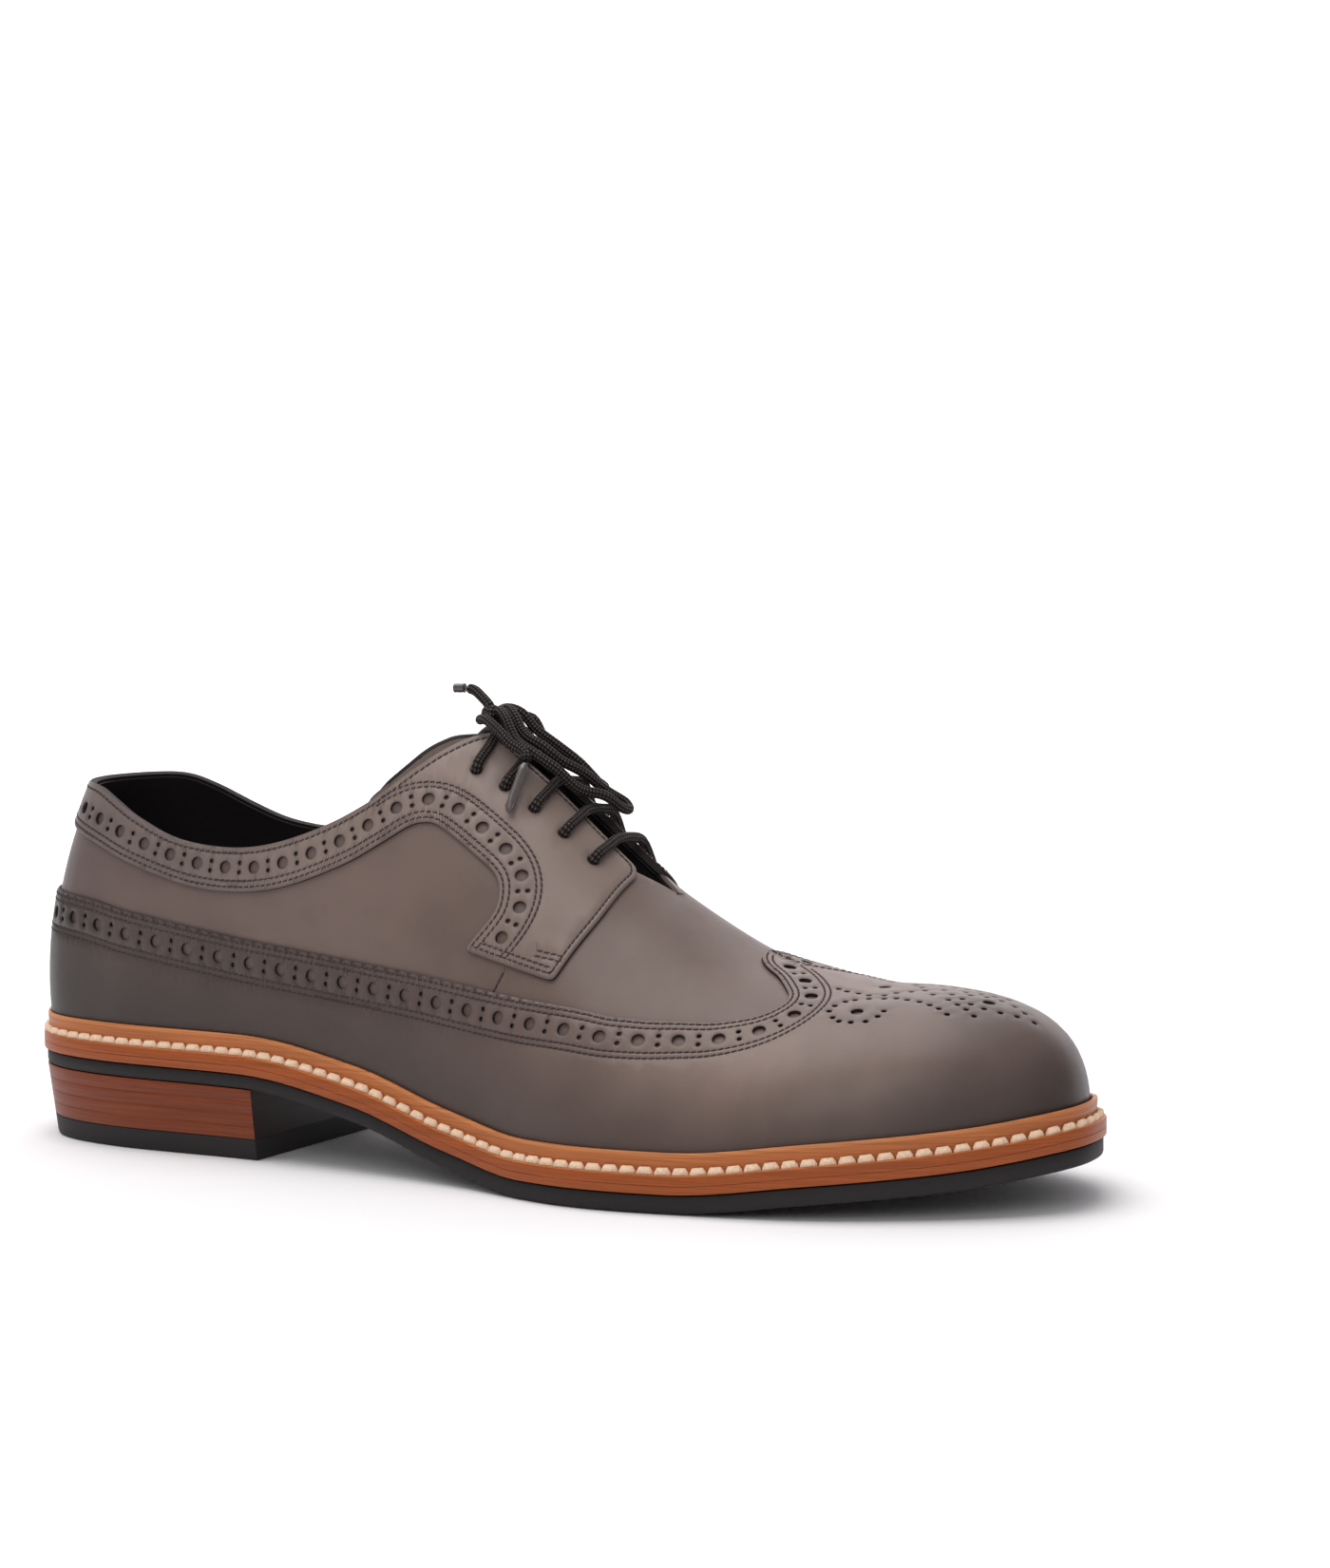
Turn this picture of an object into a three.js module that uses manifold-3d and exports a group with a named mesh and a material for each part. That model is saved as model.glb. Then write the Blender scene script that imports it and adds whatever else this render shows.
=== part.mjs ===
// Longwing brogue, right shoe, standing empty on its sole.
// X runs from the heel to the toe, Y to the inner side of the foot, Z up. Millimetres.
import * as THREE from 'three';
import { mergeVertices } from 'three/addons/utils/BufferGeometryUtils.js';
import Module from 'manifold-3d';

const wasm = await Module();
wasm.setup();

// Driving dimensions
const LENGTH = 308; // sole, back of the heel to the tip of the toe
const BALL_WIDTH = 94; // last, at its feather edge across the ball
const BACK_HEIGHT = 112; // floor to the plane where the last ends above the heel
const TOE_SPRING = 11.4;
const LIFT = 5.6; // rubber top lift under the heel
const STACK = 14; // leather heel stack
const HEEL_BREAST = 85; // from the back of the sole to the front face of the heel
const HEEL_TAPER = 2.4; // how far the heel draws in from its seat down to the floor
const OUTSOLE_HEEL = 4; // outsole thickness over the heel
const OUTSOLE_TREAD = 4.9; // outsole thickness under the forefoot
const OUTSOLE_SET_IN = 0.8; // outsole edge behind the midsole edge
const EDGE_ROUND = 0.9; // rounding of the sole edges
const MIDSOLE = 2.2;
const WELT = 2.6;
const WELT_HEEL = 3.2; // how far the welt stands out past the last at the back
const WELT_SIDE = 5.2; // and at the sides and the toe
const LIP_HEIGHT = 5.2; // upstanding rib of the storm welt
const LIP_WIDTH = 2.1;
const INSOLE = 2.6; // insole above the welt
const LEATHER = 1.7; // wall of the upper, shell and lining together
const OVERLAY = 1.1; // wing, collar band and facings lie on the wall
const TONGUE = 1.8;
const THROAT_GAP = 12.4; // between the two facings
const EYELETS = 5; // on each facing
const EYELET_SPREAD = 33; // across the throat, hole to hole
const EYELET_WIDTH = 4.4;
const LACE = 2.7; // diameter of the round lace
const GAP = 0.3; // between pieces that lie on each other

// How finely the curves are cut into facets
const STEPS_PER_ROW = 3;
const WALL_STEPS = 11;
const CUTS_PER_ROW = 2;
const LACE_SIDES = 8;
const BAR_STEPS = 12;

const FAR = 400; // past the shoe on any side

// A short table with named columns becomes a list of rows.
function table(columns, rows) {
  const names = columns.split(' ');
  return rows.map((row) => Object.fromEntries(names.map((name, k) => [name, row[k]])));
}

// Sections of the last from the heel to the toe. Each stands on the feather edge and rises to the
// ridge, lateral side first, over a point of the centre line that several sections share at the
// heel and the toe. x, fanX are shares of LENGTH; outer, inner, fanY and cone are shares of
// BALL_WIDTH; ridge is a share of BACK_HEIGHT; lean, leanIn and slant are degrees; low and high
// say how full the wall is near the sole and near the ridge; slope is the ridge's own slope.
const LAST = table(
  'x outer inner lean leanIn low fanX fanY ridge cone slant high slope welt',
  [
    [0.010, 0, 0, 83, 83, 0.40, 0.149, 0, 1, 0.245, 62, 0.33, 0, 0],
    [0.042, 0.239, 0.239, 83, 83, 0.40, 0.149, 0, 1, 0.223, 62, 0.33, 0, 0.3],
    [0.123, 0.324, 0.319, 84, 84, 0.40, 0.149, 0, 1, 0.181, 66, 0.35, 0, 0.9],
    [0.253, 0.332, 0.293, 84, 80, 0.42, 0.276, 0.011, 1.054, 0.149, 68, 0.35, 0, 1],
    [0.373, 0.358, 0.250, 83, 76, 0.40, 0.383, 0.030, 1.143, 0.053, 50, 0.30, 0, 1],
    [0.494, 0.413, 0.287, 84, 79, 0.42, 0.494, 0.060, 0.921, 0, 0, 0.62, 0, 1],
    [0.617, 0.515, 0.404, 86, 84, 0.50, 0.617, 0.092, 0.631, 0, 0, 0.58, 0, 1],
    [0.721, 0.488, 0.484, 86, 86, 0.55, 0.721, 0.090, 0.487, 0, 0, 0.60, 0, 1],
    [0.818, 0.417, 0.479, 86, 86, 0.62, 0.805, 0.088, 0.445, 0, 0, 0.70, 0, 1],
    [0.909, 0.266, 0.399, 87, 87, 0.70, 0.805, 0.088, 0.445, 0, 0, 0.76, 0.02, 1],
    [0.963, 0.117, 0.250, 88, 88, 0.73, 0.805, 0.088, 0.445, 0, 0, 0.78, 0.02, 0.95],
    [0.984, 0.032, 0.032, 88, 88, 0.74, 0.805, 0.088, 0.445, 0, 0, 0.80, 0.02, 0.9],
  ],
);

// Side view of the sole. x is a share of LENGTH; raise is the outsole's height over the floor as a
// share of the heel; spring is the same as a share of TOE_SPRING; thin is 1 where the outsole is
// as thin as over the heel and 0 where it is a full tread.
const SOLE = table('x raise spring thin', [
  [-0.02, 1, 0, 1],
  [0.262, 0.970, 0, 1],
  [0.383, 0.680, 0, 0.6],
  [0.488, 0.205, 0, 0.15],
  [0.570, 0, 0, 0],
  [0.705, 0, 0, 0],
  [0.815, 0, 0.300, 0],
  [0.927, 0, 0.620, 0],
  [1.010, 0, 1.020, 0],
]);

// Lines of the upper in side view: x is a share of LENGTH, z a share of BACK_HEIGHT.
const COLLAR_LINE = table('x z', [
  [0.045, 0.855],
  [0.085, 0.852],
  [0.110, 0.828],
  [0.145, 0.782],
  [0.185, 0.742],
  [0.235, 0.726],
  [0.280, 0.738],
  [0.330, 0.782],
  [0.372, 0.842],
  [0.405, 0.912],
  [0.430, 0.965],
  [0.450, 0.993],
  [0.475, 0.997],
]);
const BAND_EDGE = table('x z', [
  [-0.060, 0.800],
  [0.045, 0.753],
  [0.092, 0.722],
  [0.140, 0.677],
  [0.200, 0.634],
  [0.252, 0.625],
  [0.301, 0.644],
  [0.356, 0.699],
  [0.389, 0.748],
  [0.416, 0.794],
  [0.428, 0.802],
  [0.442, 0.797],
  [0.480, 0.738],
  [0.504, 0.691],
  [0.511, 0.645],
  [0.509, 0.605],
  [0.489, 0.529],
]);
const FACING_EDGE = table('x z', [
  [0.577, 0.471],
  [0.585, 0.530],
  [0.592, 0.590],
  [0.593, 0.640],
  [0.590, 0.710],
]);
const WING_EDGE = table('x z', [
  [-0.060, 0.600],
  [0.075, 0.592],
  [0.145, 0.564],
  [0.245, 0.524],
  [0.325, 0.501],
  [0.445, 0.468],
  [0.535, 0.438],
  [0.598, 0.420],
  [0.640, 0.403],
]);
// The front of the wing in plan: x is a share of LENGTH, outer and inner are shares of BALL_WIDTH.
const WING_FRONT = table('x outer inner', [
  [0.632, -0.398, 0.352],
  [0.663, -0.371, 0.368],
  [0.691, -0.335, 0.367],
  [0.721, -0.297, 0.354],
  [0.747, -0.250, 0.329],
  [0.758, -0.190, 0.290],
  [0.756, -0.140, 0.262],
  [0.747, -0.103, 0.243],
  [0.731, -0.049, 0.209],
  [0.714, -0.012, 0.178],
  [0.703, 0.030, 0.147],
  [0.697, 0.088, 0.088],
]);
// The tongue in side view: its top edge, then the edge that runs down inside the facings.
const TONGUE_TOP = table('x z', [
  [0.360, 0.845],
  [0.382, 0.895],
  [0.398, 0.935],
  [0.411, 0.968],
  [0.424, 0.990],
  [0.440, 1.003],
  [0.500, 1.005],
]);
const TONGUE_FOOT = table('x z', [
  [0.655, 0.600],
  [0.655, 0.480],
  [0.617, 0.530],
  [0.520, 0.650],
  [0.364, 0.760],
]);

// The loose part of the lace, chosen by hand: a knot over the tongue, two loops lying on the bars
// and two ends, each with its tip. Points are x, y, z from the back of the sole.
const KNOT_AT = [138.2, 1.6, 115.9];
const KNOT_RADII = [2.4, 2.9, 2.3];
const LOOP_NEAR = [
  [141.7, -0.2, 117.3], [145.0, -2.6, 115.4], [149.1, -4.4, 110.3], [155.1, -5.6, 107.2],
  [160.7, -3.8, 103.3], [164.8, 0.2, 98.1], [169.7, 5.2, 95.9], [171.5, 10.4, 92.5],
  [171.7, 14.0, 91.6], [169.8, 15.2, 93.3], [166.0, 11.9, 96.6], [162.6, 6.7, 101.4],
  [158.7, 2.4, 104.7], [154.4, 0.3, 108.5], [148.7, 0.4, 111.5], [145.0, 1.8, 115.9],
  [141.5, 3.7, 117.6],
];
const LOOP_FAR = [
  [139.5, 7.5, 114.5], [144.2, 11.7, 114.7], [147.2, 14.9, 107.0], [153.4, 16.9, 103.8],
  [158.0, 17.6, 99.5], [162.5, 16.9, 97.1], [163.5, 13.7, 97.7], [158.9, 11.1, 103.5],
  [153.2, 9.5, 108.0], [147.6, 8.2, 112.1], [143.7, 7.3, 116.4], [139.4, 6.4, 117.6],
];
const END_BACK = [
  [137.0, 2.0, 118.5], [134.3, 2.9, 120.6], [131.6, 3.8, 122.2], [129.3, 4.0, 122.8],
];
const TIP_BACK = [
  [128.6, 4.0, 122.8], [125.0, 4.0, 122.7],
];
const END_FRONT = [
  [137.3, -2.9, 115.3], [141.1, -6.0, 115.5], [146.5, -8.0, 112.6], [149.8, -8.5, 109.9],
  [153.6, -8.4, 107.8], [154.8, -9.3, 105.9],
];
const TIP_FRONT = [
  [154.9, -9.8, 105.0], [154.2, -17.4, 93.4],
];
const TIP_DIAMETER = 2.5;

// A row of the table between two values, level where the table is level.
function limited(before, after) {
  return before * after <= 0 ? 0 : (2 * before * after) / (before + after);
}

function hermite(a, b, slopeA, slopeB, u) {
  const square = u * u;
  const cube = square * u;
  const first = (2 * cube - 3 * square + 1) * a + (cube - 2 * square + u) * slopeA;
  return first + (3 * square - 2 * cube) * b + (cube - square) * slopeB;
}

function lookUp(rows, key, x) {
  const last = rows.length - 2;
  const at = Math.min(Math.max(x, rows[0].x), rows[last + 1].x);
  let k = 0;
  while (k < last && at > rows[k + 1].x) k += 1;
  const rise = (n) => (rows[n + 1][key] - rows[n][key]) / (rows[n + 1].x - rows[n].x);
  const step = rows[k + 1].x - rows[k].x;
  const slopeA = k > 0 ? limited(rise(k - 1), rise(k)) : rise(k);
  const slopeB = k < last ? limited(rise(k), rise(k + 1)) : rise(k);
  return hermite(rows[k][key], rows[k + 1][key], slopeA * step, slopeB * step, (at - rows[k].x) / step);
}

// Heights of the sole's layers over the floor
const soleRow = (key, x) => lookUp(SOLE, key, x / LENGTH);
const outsoleBottom = (x) => soleRow('raise', x) * (LIFT + STACK) + soleRow('spring', x) * TOE_SPRING;
const outsoleThick = (x) => OUTSOLE_TREAD + soleRow('thin', x) * (OUTSOLE_HEEL - OUTSOLE_TREAD);
const outsoleTop = (x) => outsoleBottom(x) + outsoleThick(x);
const midsoleTop = (x) => outsoleTop(x) + MIDSOLE;
const weltTop = (x) => midsoleTop(x) + WELT;

// The last as a closed loop of sections: lateral side to the toe, medial side back to the heel.
const ROWS = LAST.length;
const LOOP = 2 * (ROWS - 1);
const loopRows = [];
for (let k = 0; k < LOOP; k += 1) {
  const medial = k >= ROWS;
  const row = LAST[medial ? LOOP - k : k];
  const side = medial || k === ROWS - 1 ? row.inner : -row.outer;
  loopRows.push({ ...row, y: side, lean: medial ? row.leanIn : row.lean });
}

function section(s) {
  const wrapped = ((s % LOOP) + LOOP) % LOOP;
  const k = Math.floor(wrapped);
  const u = wrapped - k;
  const [a, b, c, d] = [k - 1, k, k + 1, k + 2].map((n) => loopRows[(n + LOOP) % LOOP]);
  const between = (key) =>
    hermite(b[key], c[key], limited(b[key] - a[key], c[key] - b[key]),
      limited(c[key] - b[key], d[key] - c[key]), u);
  const through = (key) => hermite(b[key], c[key], (c[key] - a[key]) / 2, (d[key] - b[key]) / 2, u);
  const foot = new THREE.Vector2(through('x') * LENGTH, through('y') * BALL_WIDTH);
  const centre = new THREE.Vector2(between('fanX') * LENGTH, between('fanY') * BALL_WIDTH);
  return { foot, centre, between };
}

// One point of the last's wall: s runs round the shoe, t from the feather edge to the ridge.
function wallPoint(s, t) {
  const { foot, centre, between } = section(s);
  const outward = foot.clone().sub(centre);
  const reach = outward.length();
  outward.normalize();
  const floor = weltTop(foot.x) + GAP;
  const top = between('ridge') * BACK_HEIGHT;
  const rise = top - floor;
  const cone = between('cone') * BALL_WIDTH;
  const lean = THREE.MathUtils.degToRad(between('lean'));
  const slant = THREE.MathUtils.degToRad(between('slant'));
  const low = between('low') * rise;
  const pull = (reach - cone) * Math.cos(slant) ** 2 + rise * Math.sin(slant) ** 2;
  const high = between('high') * pull;
  const profile = new THREE.CubicBezierCurve(
    new THREE.Vector2(reach, floor),
    new THREE.Vector2(reach + low / Math.tan(lean), floor + low),
    new THREE.Vector2(
      cone + high * Math.cos(slant),
      top - high * Math.sin(slant) + between('slope') * outward.x * high,
    ),
    new THREE.Vector2(cone, top),
  ).getPoint(t);
  return new THREE.Vector3(
    centre.x + outward.x * profile.x,
    centre.y + outward.y * profile.x,
    profile.y,
  );
}

// The way out of the wall at a point. On the ridge it stands square to the ridge line.
function wallNormal(s, t) {
  const NUDGE = 0.01;
  if (t > 1 - NUDGE) {
    const ahead = wallPoint(s + NUDGE, 1);
    const behind = wallPoint(s - NUDGE, 1);
    const run = ahead.x - behind.x;
    const incline = Math.abs(run) < NUDGE ? 0 : (ahead.z - behind.z) / run;
    return new THREE.Vector3(-incline, 0, 1).normalize();
  }
  const along = wallPoint(s + NUDGE, t).sub(wallPoint(s - NUDGE, t));
  const low = Math.max(t - NUDGE, 0);
  const up = wallPoint(s, t + NUDGE).sub(wallPoint(s, low));
  return along.cross(up).normalize();
}

const offsetPoint = (s, t, out) => wallPoint(s, t).addScaledVector(wallNormal(s, t), out);

// The share t at which the wall stands a given height over the feather edge
function shareAtRise(s, rise) {
  const floor = wallPoint(s, 0).z;
  let low = 0;
  let high = 1;
  for (let k = 0; k < 24; k += 1) {
    const middle = (low + high) / 2;
    if (wallPoint(s, middle).z - floor < rise) low = middle;
    else high = middle;
  }
  return low;
}

// Where the last's skin lies over a place in plan, with its way out, found by steps towards it
function skinAt(x, y) {
  const NUDGE = 0.001;
  const LONGEST_STEP = 0.4;
  const STEPS = 40;
  const [LOWEST, HIGHEST] = [0.05, 0.985];
  let s = (Math.sign(y) * -LOOP) / 4;
  let t = HIGHEST;
  for (let k = 0; k < STEPS; k += 1) {
    const here = wallPoint(s, t);
    const alongS = wallPoint(s + NUDGE, t).sub(here).divideScalar(NUDGE);
    const alongT = wallPoint(s, t + NUDGE).sub(here).divideScalar(NUDGE);
    const det = alongS.x * alongT.y - alongT.x * alongS.y;
    const dx = x - here.x;
    const dy = y - here.y;
    s += THREE.MathUtils.clamp((dx * alongT.y - dy * alongT.x) / det, -LONGEST_STEP, LONGEST_STEP);
    t = THREE.MathUtils.clamp(t + (alongS.x * dy - alongS.y * dx) / det, LOWEST, HIGHEST);
  }
  return { at: wallPoint(s, t), out: wallNormal(s, t) };
}

// Meshes: faces over a list of points, with doubled points merged and empty faces dropped.
function meshOf(points, faces) {
  const flat = new THREE.BufferGeometry();
  flat.setAttribute('position', new THREE.Float32BufferAttribute(points.flatMap((p) => p.toArray()), 3));
  flat.setIndex(faces.flat());
  return merged(flat);
}

function merged(geometry) {
  geometry.deleteAttribute('normal');
  geometry.deleteAttribute('uv');
  const whole = mergeVertices(geometry, 1e-3);
  const index = whole.getIndex().array;
  const kept = [];
  for (let k = 0; k < index.length; k += 3) {
    const [a, b, c] = [index[k], index[k + 1], index[k + 2]];
    if (a !== b && b !== c && c !== a) kept.push(a, b, c);
  }
  whole.setIndex(kept);
  return whole;
}

function solidOf(geometry) {
  const clean = merged(geometry);
  return new wasm.Manifold(new wasm.Mesh({
    numProp: 3,
    vertProperties: new Float32Array(clean.getAttribute('position').array),
    triVerts: new Uint32Array(clean.getIndex().array),
  }));
}

function geometryOf(solid) {
  const mesh = solid.getMesh();
  const geometry = new THREE.BufferGeometry();
  geometry.setAttribute('position', new THREE.BufferAttribute(mesh.vertProperties, 3));
  geometry.setIndex(new THREE.BufferAttribute(mesh.triVerts, 1));
  return geometry;
}

// Rings of points joined into a wall; each ring goes once round the shoe from the back.
const AROUND = LOOP * STEPS_PER_ROW;
const stations = Array.from({ length: AROUND }, (_, k) => k / STEPS_PER_ROW);

function joinRings(rings, closed) {
  const faces = [];
  const count = rings[0].length;
  const levels = closed ? rings.length : rings.length - 1;
  for (let j = 0; j < levels; j += 1) {
    const low = j * count;
    const high = ((j + 1) % rings.length) * count;
    for (let i = 0; i < count; i += 1) {
      const next = (i + 1) % count;
      faces.push([low + i, low + next, high + next], [low + i, high + next, high + i]);
    }
  }
  return faces;
}

// A lid across a ring, in strips from the lateral side to the medial side
function lid(first, count, up, strips = count / 2) {
  const faces = [];
  for (let i = 0; i < strips; i += 1) {
    const [a, b] = [first + i, first + i + 1];
    const [c, d] = [first + ((count - i) % count), first + ((count - i - 1) % count)];
    faces.push(up ? [a, b, d] : [a, d, b], up ? [a, d, c] : [a, c, d]);
  }
  return faces;
}

function stackOfRings(rings) {
  const count = rings[0].length;
  const faces = [
    ...joinRings(rings, false),
    ...lid(0, count, false),
    ...lid((rings.length - 1) * count, count, true),
  ];
  return meshOf(rings.flat(), faces);
}

// A solid bounded by the last's skin, moved in or out
function lastSolid(out, from, cellar) {
  const rings = [];
  if (cellar) {
    const foot = stations.map((s) => offsetPoint(s, 0, out));
    rings.push(foot.map((p) => p.clone().setZ(weltTop(p.x) - cellar)));
  }
  for (let j = 0; j <= WALL_STEPS; j += 1) {
    const t = from + ((1 - from) * j) / WALL_STEPS;
    const ring = stations.map((s) => offsetPoint(s, t, out));
    if (t === 0) ring.forEach((p) => p.setZ(weltTop(p.x) + GAP));
    rings.push(ring);
  }
  return solidOf(stackOfRings(rings));
}

// Prisms that cut the pieces out of those solids
const sidePoint = (row) => new THREE.Vector2(row.x * LENGTH, row.z * BACK_HEIGHT);
const smoothLine = (rows) => new THREE.SplineCurve(rows.map(sidePoint)).getPoints(CUTS_PER_ROW * rows.length);

function sidePrism(outline) {
  const prism = new THREE.ExtrudeGeometry(new THREE.Shape(outline), { depth: 2 * FAR, bevelEnabled: false });
  prism.rotateX(Math.PI / 2);
  prism.translate(0, FAR, 0);
  return solidOf(prism);
}

function planPrism(shape, bottom, top) {
  const prism = new THREE.ExtrudeGeometry(shape, { depth: top - bottom, bevelEnabled: false });
  prism.translate(0, 0, bottom);
  return solidOf(prism);
}

function wingRegion() {
  const edge = smoothLine(WING_EDGE);
  const side = sidePrism([
    ...edge,
    new THREE.Vector2(edge.at(-1).x, -FAR),
    new THREE.Vector2(edge[0].x, -FAR),
  ]);
  const start = WING_FRONT[0].x * LENGTH;
  const lateral = WING_FRONT.map((row) => new THREE.Vector2(row.x * LENGTH, row.outer * BALL_WIDTH));
  const medial = WING_FRONT.map((row) => new THREE.Vector2(row.x * LENGTH, row.inner * BALL_WIDTH));
  const plan = new THREE.Shape([
    new THREE.Vector2(start, -FAR),
    new THREE.Vector2(FAR, -FAR),
    new THREE.Vector2(FAR, FAR),
    new THREE.Vector2(start, FAR),
    ...medial,
    ...lateral.reverse().slice(1),
  ]);
  return side.add(planPrism(plan, -FAR, FAR));
}

function bandRegion() {
  const edge = [...smoothLine(BAND_EDGE), ...smoothLine(FACING_EDGE)];
  return sidePrism([
    ...edge,
    new THREE.Vector2(edge.at(-1).x, FAR),
    new THREE.Vector2(edge[0].x, FAR),
  ]);
}

function aboveCollar() {
  const line = smoothLine(COLLAR_LINE);
  return sidePrism([
    new THREE.Vector2(-FAR, line[0].y),
    ...line,
    new THREE.Vector2(line.at(-1).x, FAR),
    new THREE.Vector2(-FAR, FAR),
  ]);
}

// The throat runs along the ridge, a few degrees off the shoe's own axis.
const THROAT_BACK = 0.42 * LENGTH;
const THROAT_CORNER = 0.588 * LENGTH;
const THROAT_END = 0.614 * LENGTH;
const ridgeLine = LAST.map((row) => ({ x: row.fanX, y: row.fanY }))
  .filter((row, k, all) => k === 0 || row.x > all[k - 1].x);
const ridgeY = (x) => lookUp(ridgeLine, 'y', x / LENGTH) * BALL_WIDTH;

function throat() {
  const half = THROAT_GAP / 2;
  const shape = new THREE.Shape();
  shape.moveTo(THROAT_BACK, ridgeY(THROAT_BACK) - half);
  shape.lineTo(THROAT_CORNER, ridgeY(THROAT_CORNER) - half);
  shape.lineTo(THROAT_END, ridgeY(THROAT_END));
  shape.lineTo(THROAT_CORNER, ridgeY(THROAT_CORNER) + half);
  shape.lineTo(THROAT_BACK, ridgeY(THROAT_BACK) + half);
  const aboveTheVamp = weltTop(THROAT_END) + BACK_HEIGHT / 3;
  return planPrism(shape, aboveTheVamp, FAR);
}

// Eyelet places: evenly along each facing
const EYELET_FIRST = 0.459;
const EYELET_LAST = 0.564;
const eyeletX = (k) => (EYELET_FIRST + ((EYELET_LAST - EYELET_FIRST) * k) / (EYELETS - 1)) * LENGTH;
const eyelet = (k, side) => skinAt(eyeletX(k), ridgeY(eyeletX(k)) + (side * EYELET_SPREAD) / 2);
const eachEyelet = Array.from({ length: EYELETS }, (_, k) => k);

function eyeletHole(k, side) {
  const { at, out } = eyelet(k, side);
  const depth = 3 * (LEATHER + OVERLAY); // from well outside to well inside
  const hole = new THREE.CylinderGeometry(EYELET_WIDTH / 2, EYELET_WIDTH / 2, depth, LACE_SIDES);
  hole.applyQuaternion(new THREE.Quaternion().setFromUnitVectors(new THREE.Vector3(0, 1, 0), out));
  hole.translate(at.x, at.y, at.z);
  return solidOf(hole);
}

// The hollow upper: a wall with the wing, the collar band and the facings raised on it
function upper() {
  const START = 0.06; // the bare wall begins a little above the wing's foot
  const overlays = lastSolid(OVERLAY, 0, 0).intersect(wingRegion().add(bandRegion()));
  let shell = lastSolid(0, START, 0).add(overlays);
  shell = shell.subtract(lastSolid(-LEATHER, 0, WELT));
  shell = shell.subtract(aboveCollar());
  shell = shell.subtract(throat());
  for (const k of eachEyelet) {
    shell = shell.subtract(eyeletHole(k, -1)).subtract(eyeletHole(k, 1));
  }
  return geometryOf(shell);
}

function tongue() {
  const top = smoothLine(TONGUE_TOP);
  const outside = -(LEATHER + GAP);
  const shell = lastSolid(outside, 0, 0).subtract(lastSolid(outside - TONGUE, 0, WELT));
  return geometryOf(shell.intersect(sidePrism([...top, ...TONGUE_FOOT.map(sidePoint)])));
}

// Sole pieces: the outline of the welt, moved in by a given amount
function outlinePoint(s, inset) {
  const foot = section(s).foot;
  const NUDGE = 0.02;
  const along = section(s + NUDGE).foot.sub(section(s - NUDGE).foot).normalize();
  const margin = WELT_HEEL + section(s).between('welt') * (WELT_SIDE - WELT_HEEL);
  return new THREE.Vector2(along.y, -along.x).multiplyScalar(margin - inset).add(foot);
}

function featherPoint(s, out) {
  const foot = section(s).foot;
  const NUDGE = 0.02;
  const along = section(s + NUDGE).foot.sub(section(s - NUDGE).foot).normalize();
  return new THREE.Vector2(along.y, -along.x).multiplyScalar(out).add(foot);
}

const ring = (point, height) => stations.map((s) => {
  const p = point(s);
  return new THREE.Vector3(p.x, p.y, height(p.x));
});

function board(insets) {
  return stackOfRings(insets.map(([inset, height]) => ring((s) => outlinePoint(s, inset), height)));
}

function outsole() {
  const inset = OUTSOLE_SET_IN;
  return board([
    [inset + EDGE_ROUND, outsoleBottom],
    [inset, (x) => outsoleBottom(x) + EDGE_ROUND],
    [inset, (x) => outsoleTop(x) - GAP],
  ]);
}

function midsole() {
  return board([
    [0, outsoleTop],
    [0, (x) => midsoleTop(x) - GAP],
  ]);
}

function insole() {
  const edge = (s) => featherPoint(s, -(LEATHER + GAP));
  return stackOfRings([
    ring(edge, midsoleTop),
    ring(edge, (x) => weltTop(x) + INSOLE),
  ]);
}

// The welt lies on the midsole all round, with its rib standing against the upper.
function welt() {
  const shoulder = EDGE_ROUND / 2;
  const ribFoot = OVERLAY + GAP;
  const rib = (s, rise, out) => {
    const p = offsetPoint(s, shareAtRise(s, rise), ribFoot);
    const push = featherPoint(s, out).sub(featherPoint(s, 0));
    return new THREE.Vector3(p.x + push.x, p.y + push.y, p.z);
  };
  const rings = [
    ring((s) => featherPoint(s, -LEATHER), midsoleTop),
    ring((s) => outlinePoint(s, shoulder / 2), midsoleTop),
    ring((s) => outlinePoint(s, 0), (x) => midsoleTop(x) + shoulder),
    ring((s) => outlinePoint(s, 0), (x) => weltTop(x) - shoulder),
    ring((s) => outlinePoint(s, shoulder), weltTop),
    ring((s) => featherPoint(s, ribFoot + LIP_WIDTH), weltTop),
    stations.map((s) => rib(s, LIP_HEIGHT - shoulder, LIP_WIDTH)),
    stations.map((s) => rib(s, LIP_HEIGHT, LIP_WIDTH / 2)),
    stations.map((s) => rib(s, LIP_HEIGHT - shoulder, 0)),
    ring((s) => featherPoint(s, ribFoot), weltTop),
    ring((s) => featherPoint(s, -LEATHER), weltTop),
  ];
  return meshOf(rings.flat(), joinRings(rings, true));
}

// Heel pieces end at the breast, so their rings are cut there by a straight face.
function heelPiece(levels) {
  const back = stations.filter((s) => outlinePoint(s, 0).x < HEEL_BREAST);
  const lateral = back.filter((s) => s < LOOP / 2);
  const medial = back.filter((s) => s > LOOP / 2);
  const rings = levels.map(([inset, height]) => {
    const points = [...lateral, ...medial].map((s) => outlinePoint(s, inset));
    const toBreast = (s) => {
      const p = outlinePoint(s, inset);
      return new THREE.Vector2(HEEL_BREAST, p.y);
    };
    points.splice(lateral.length, 0, toBreast(lateral.at(-1)), toBreast(medial[0]));
    return points.map((p) => new THREE.Vector3(p.x, p.y, height(p.x)));
  });
  const count = rings[0].length;
  const faces = [
    ...joinRings(rings, false),
    ...lid(0, count, false, lateral.length),
    ...lid((rings.length - 1) * count, count, true, lateral.length),
  ];
  return meshOf(rings.flat(), faces);
}

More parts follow.
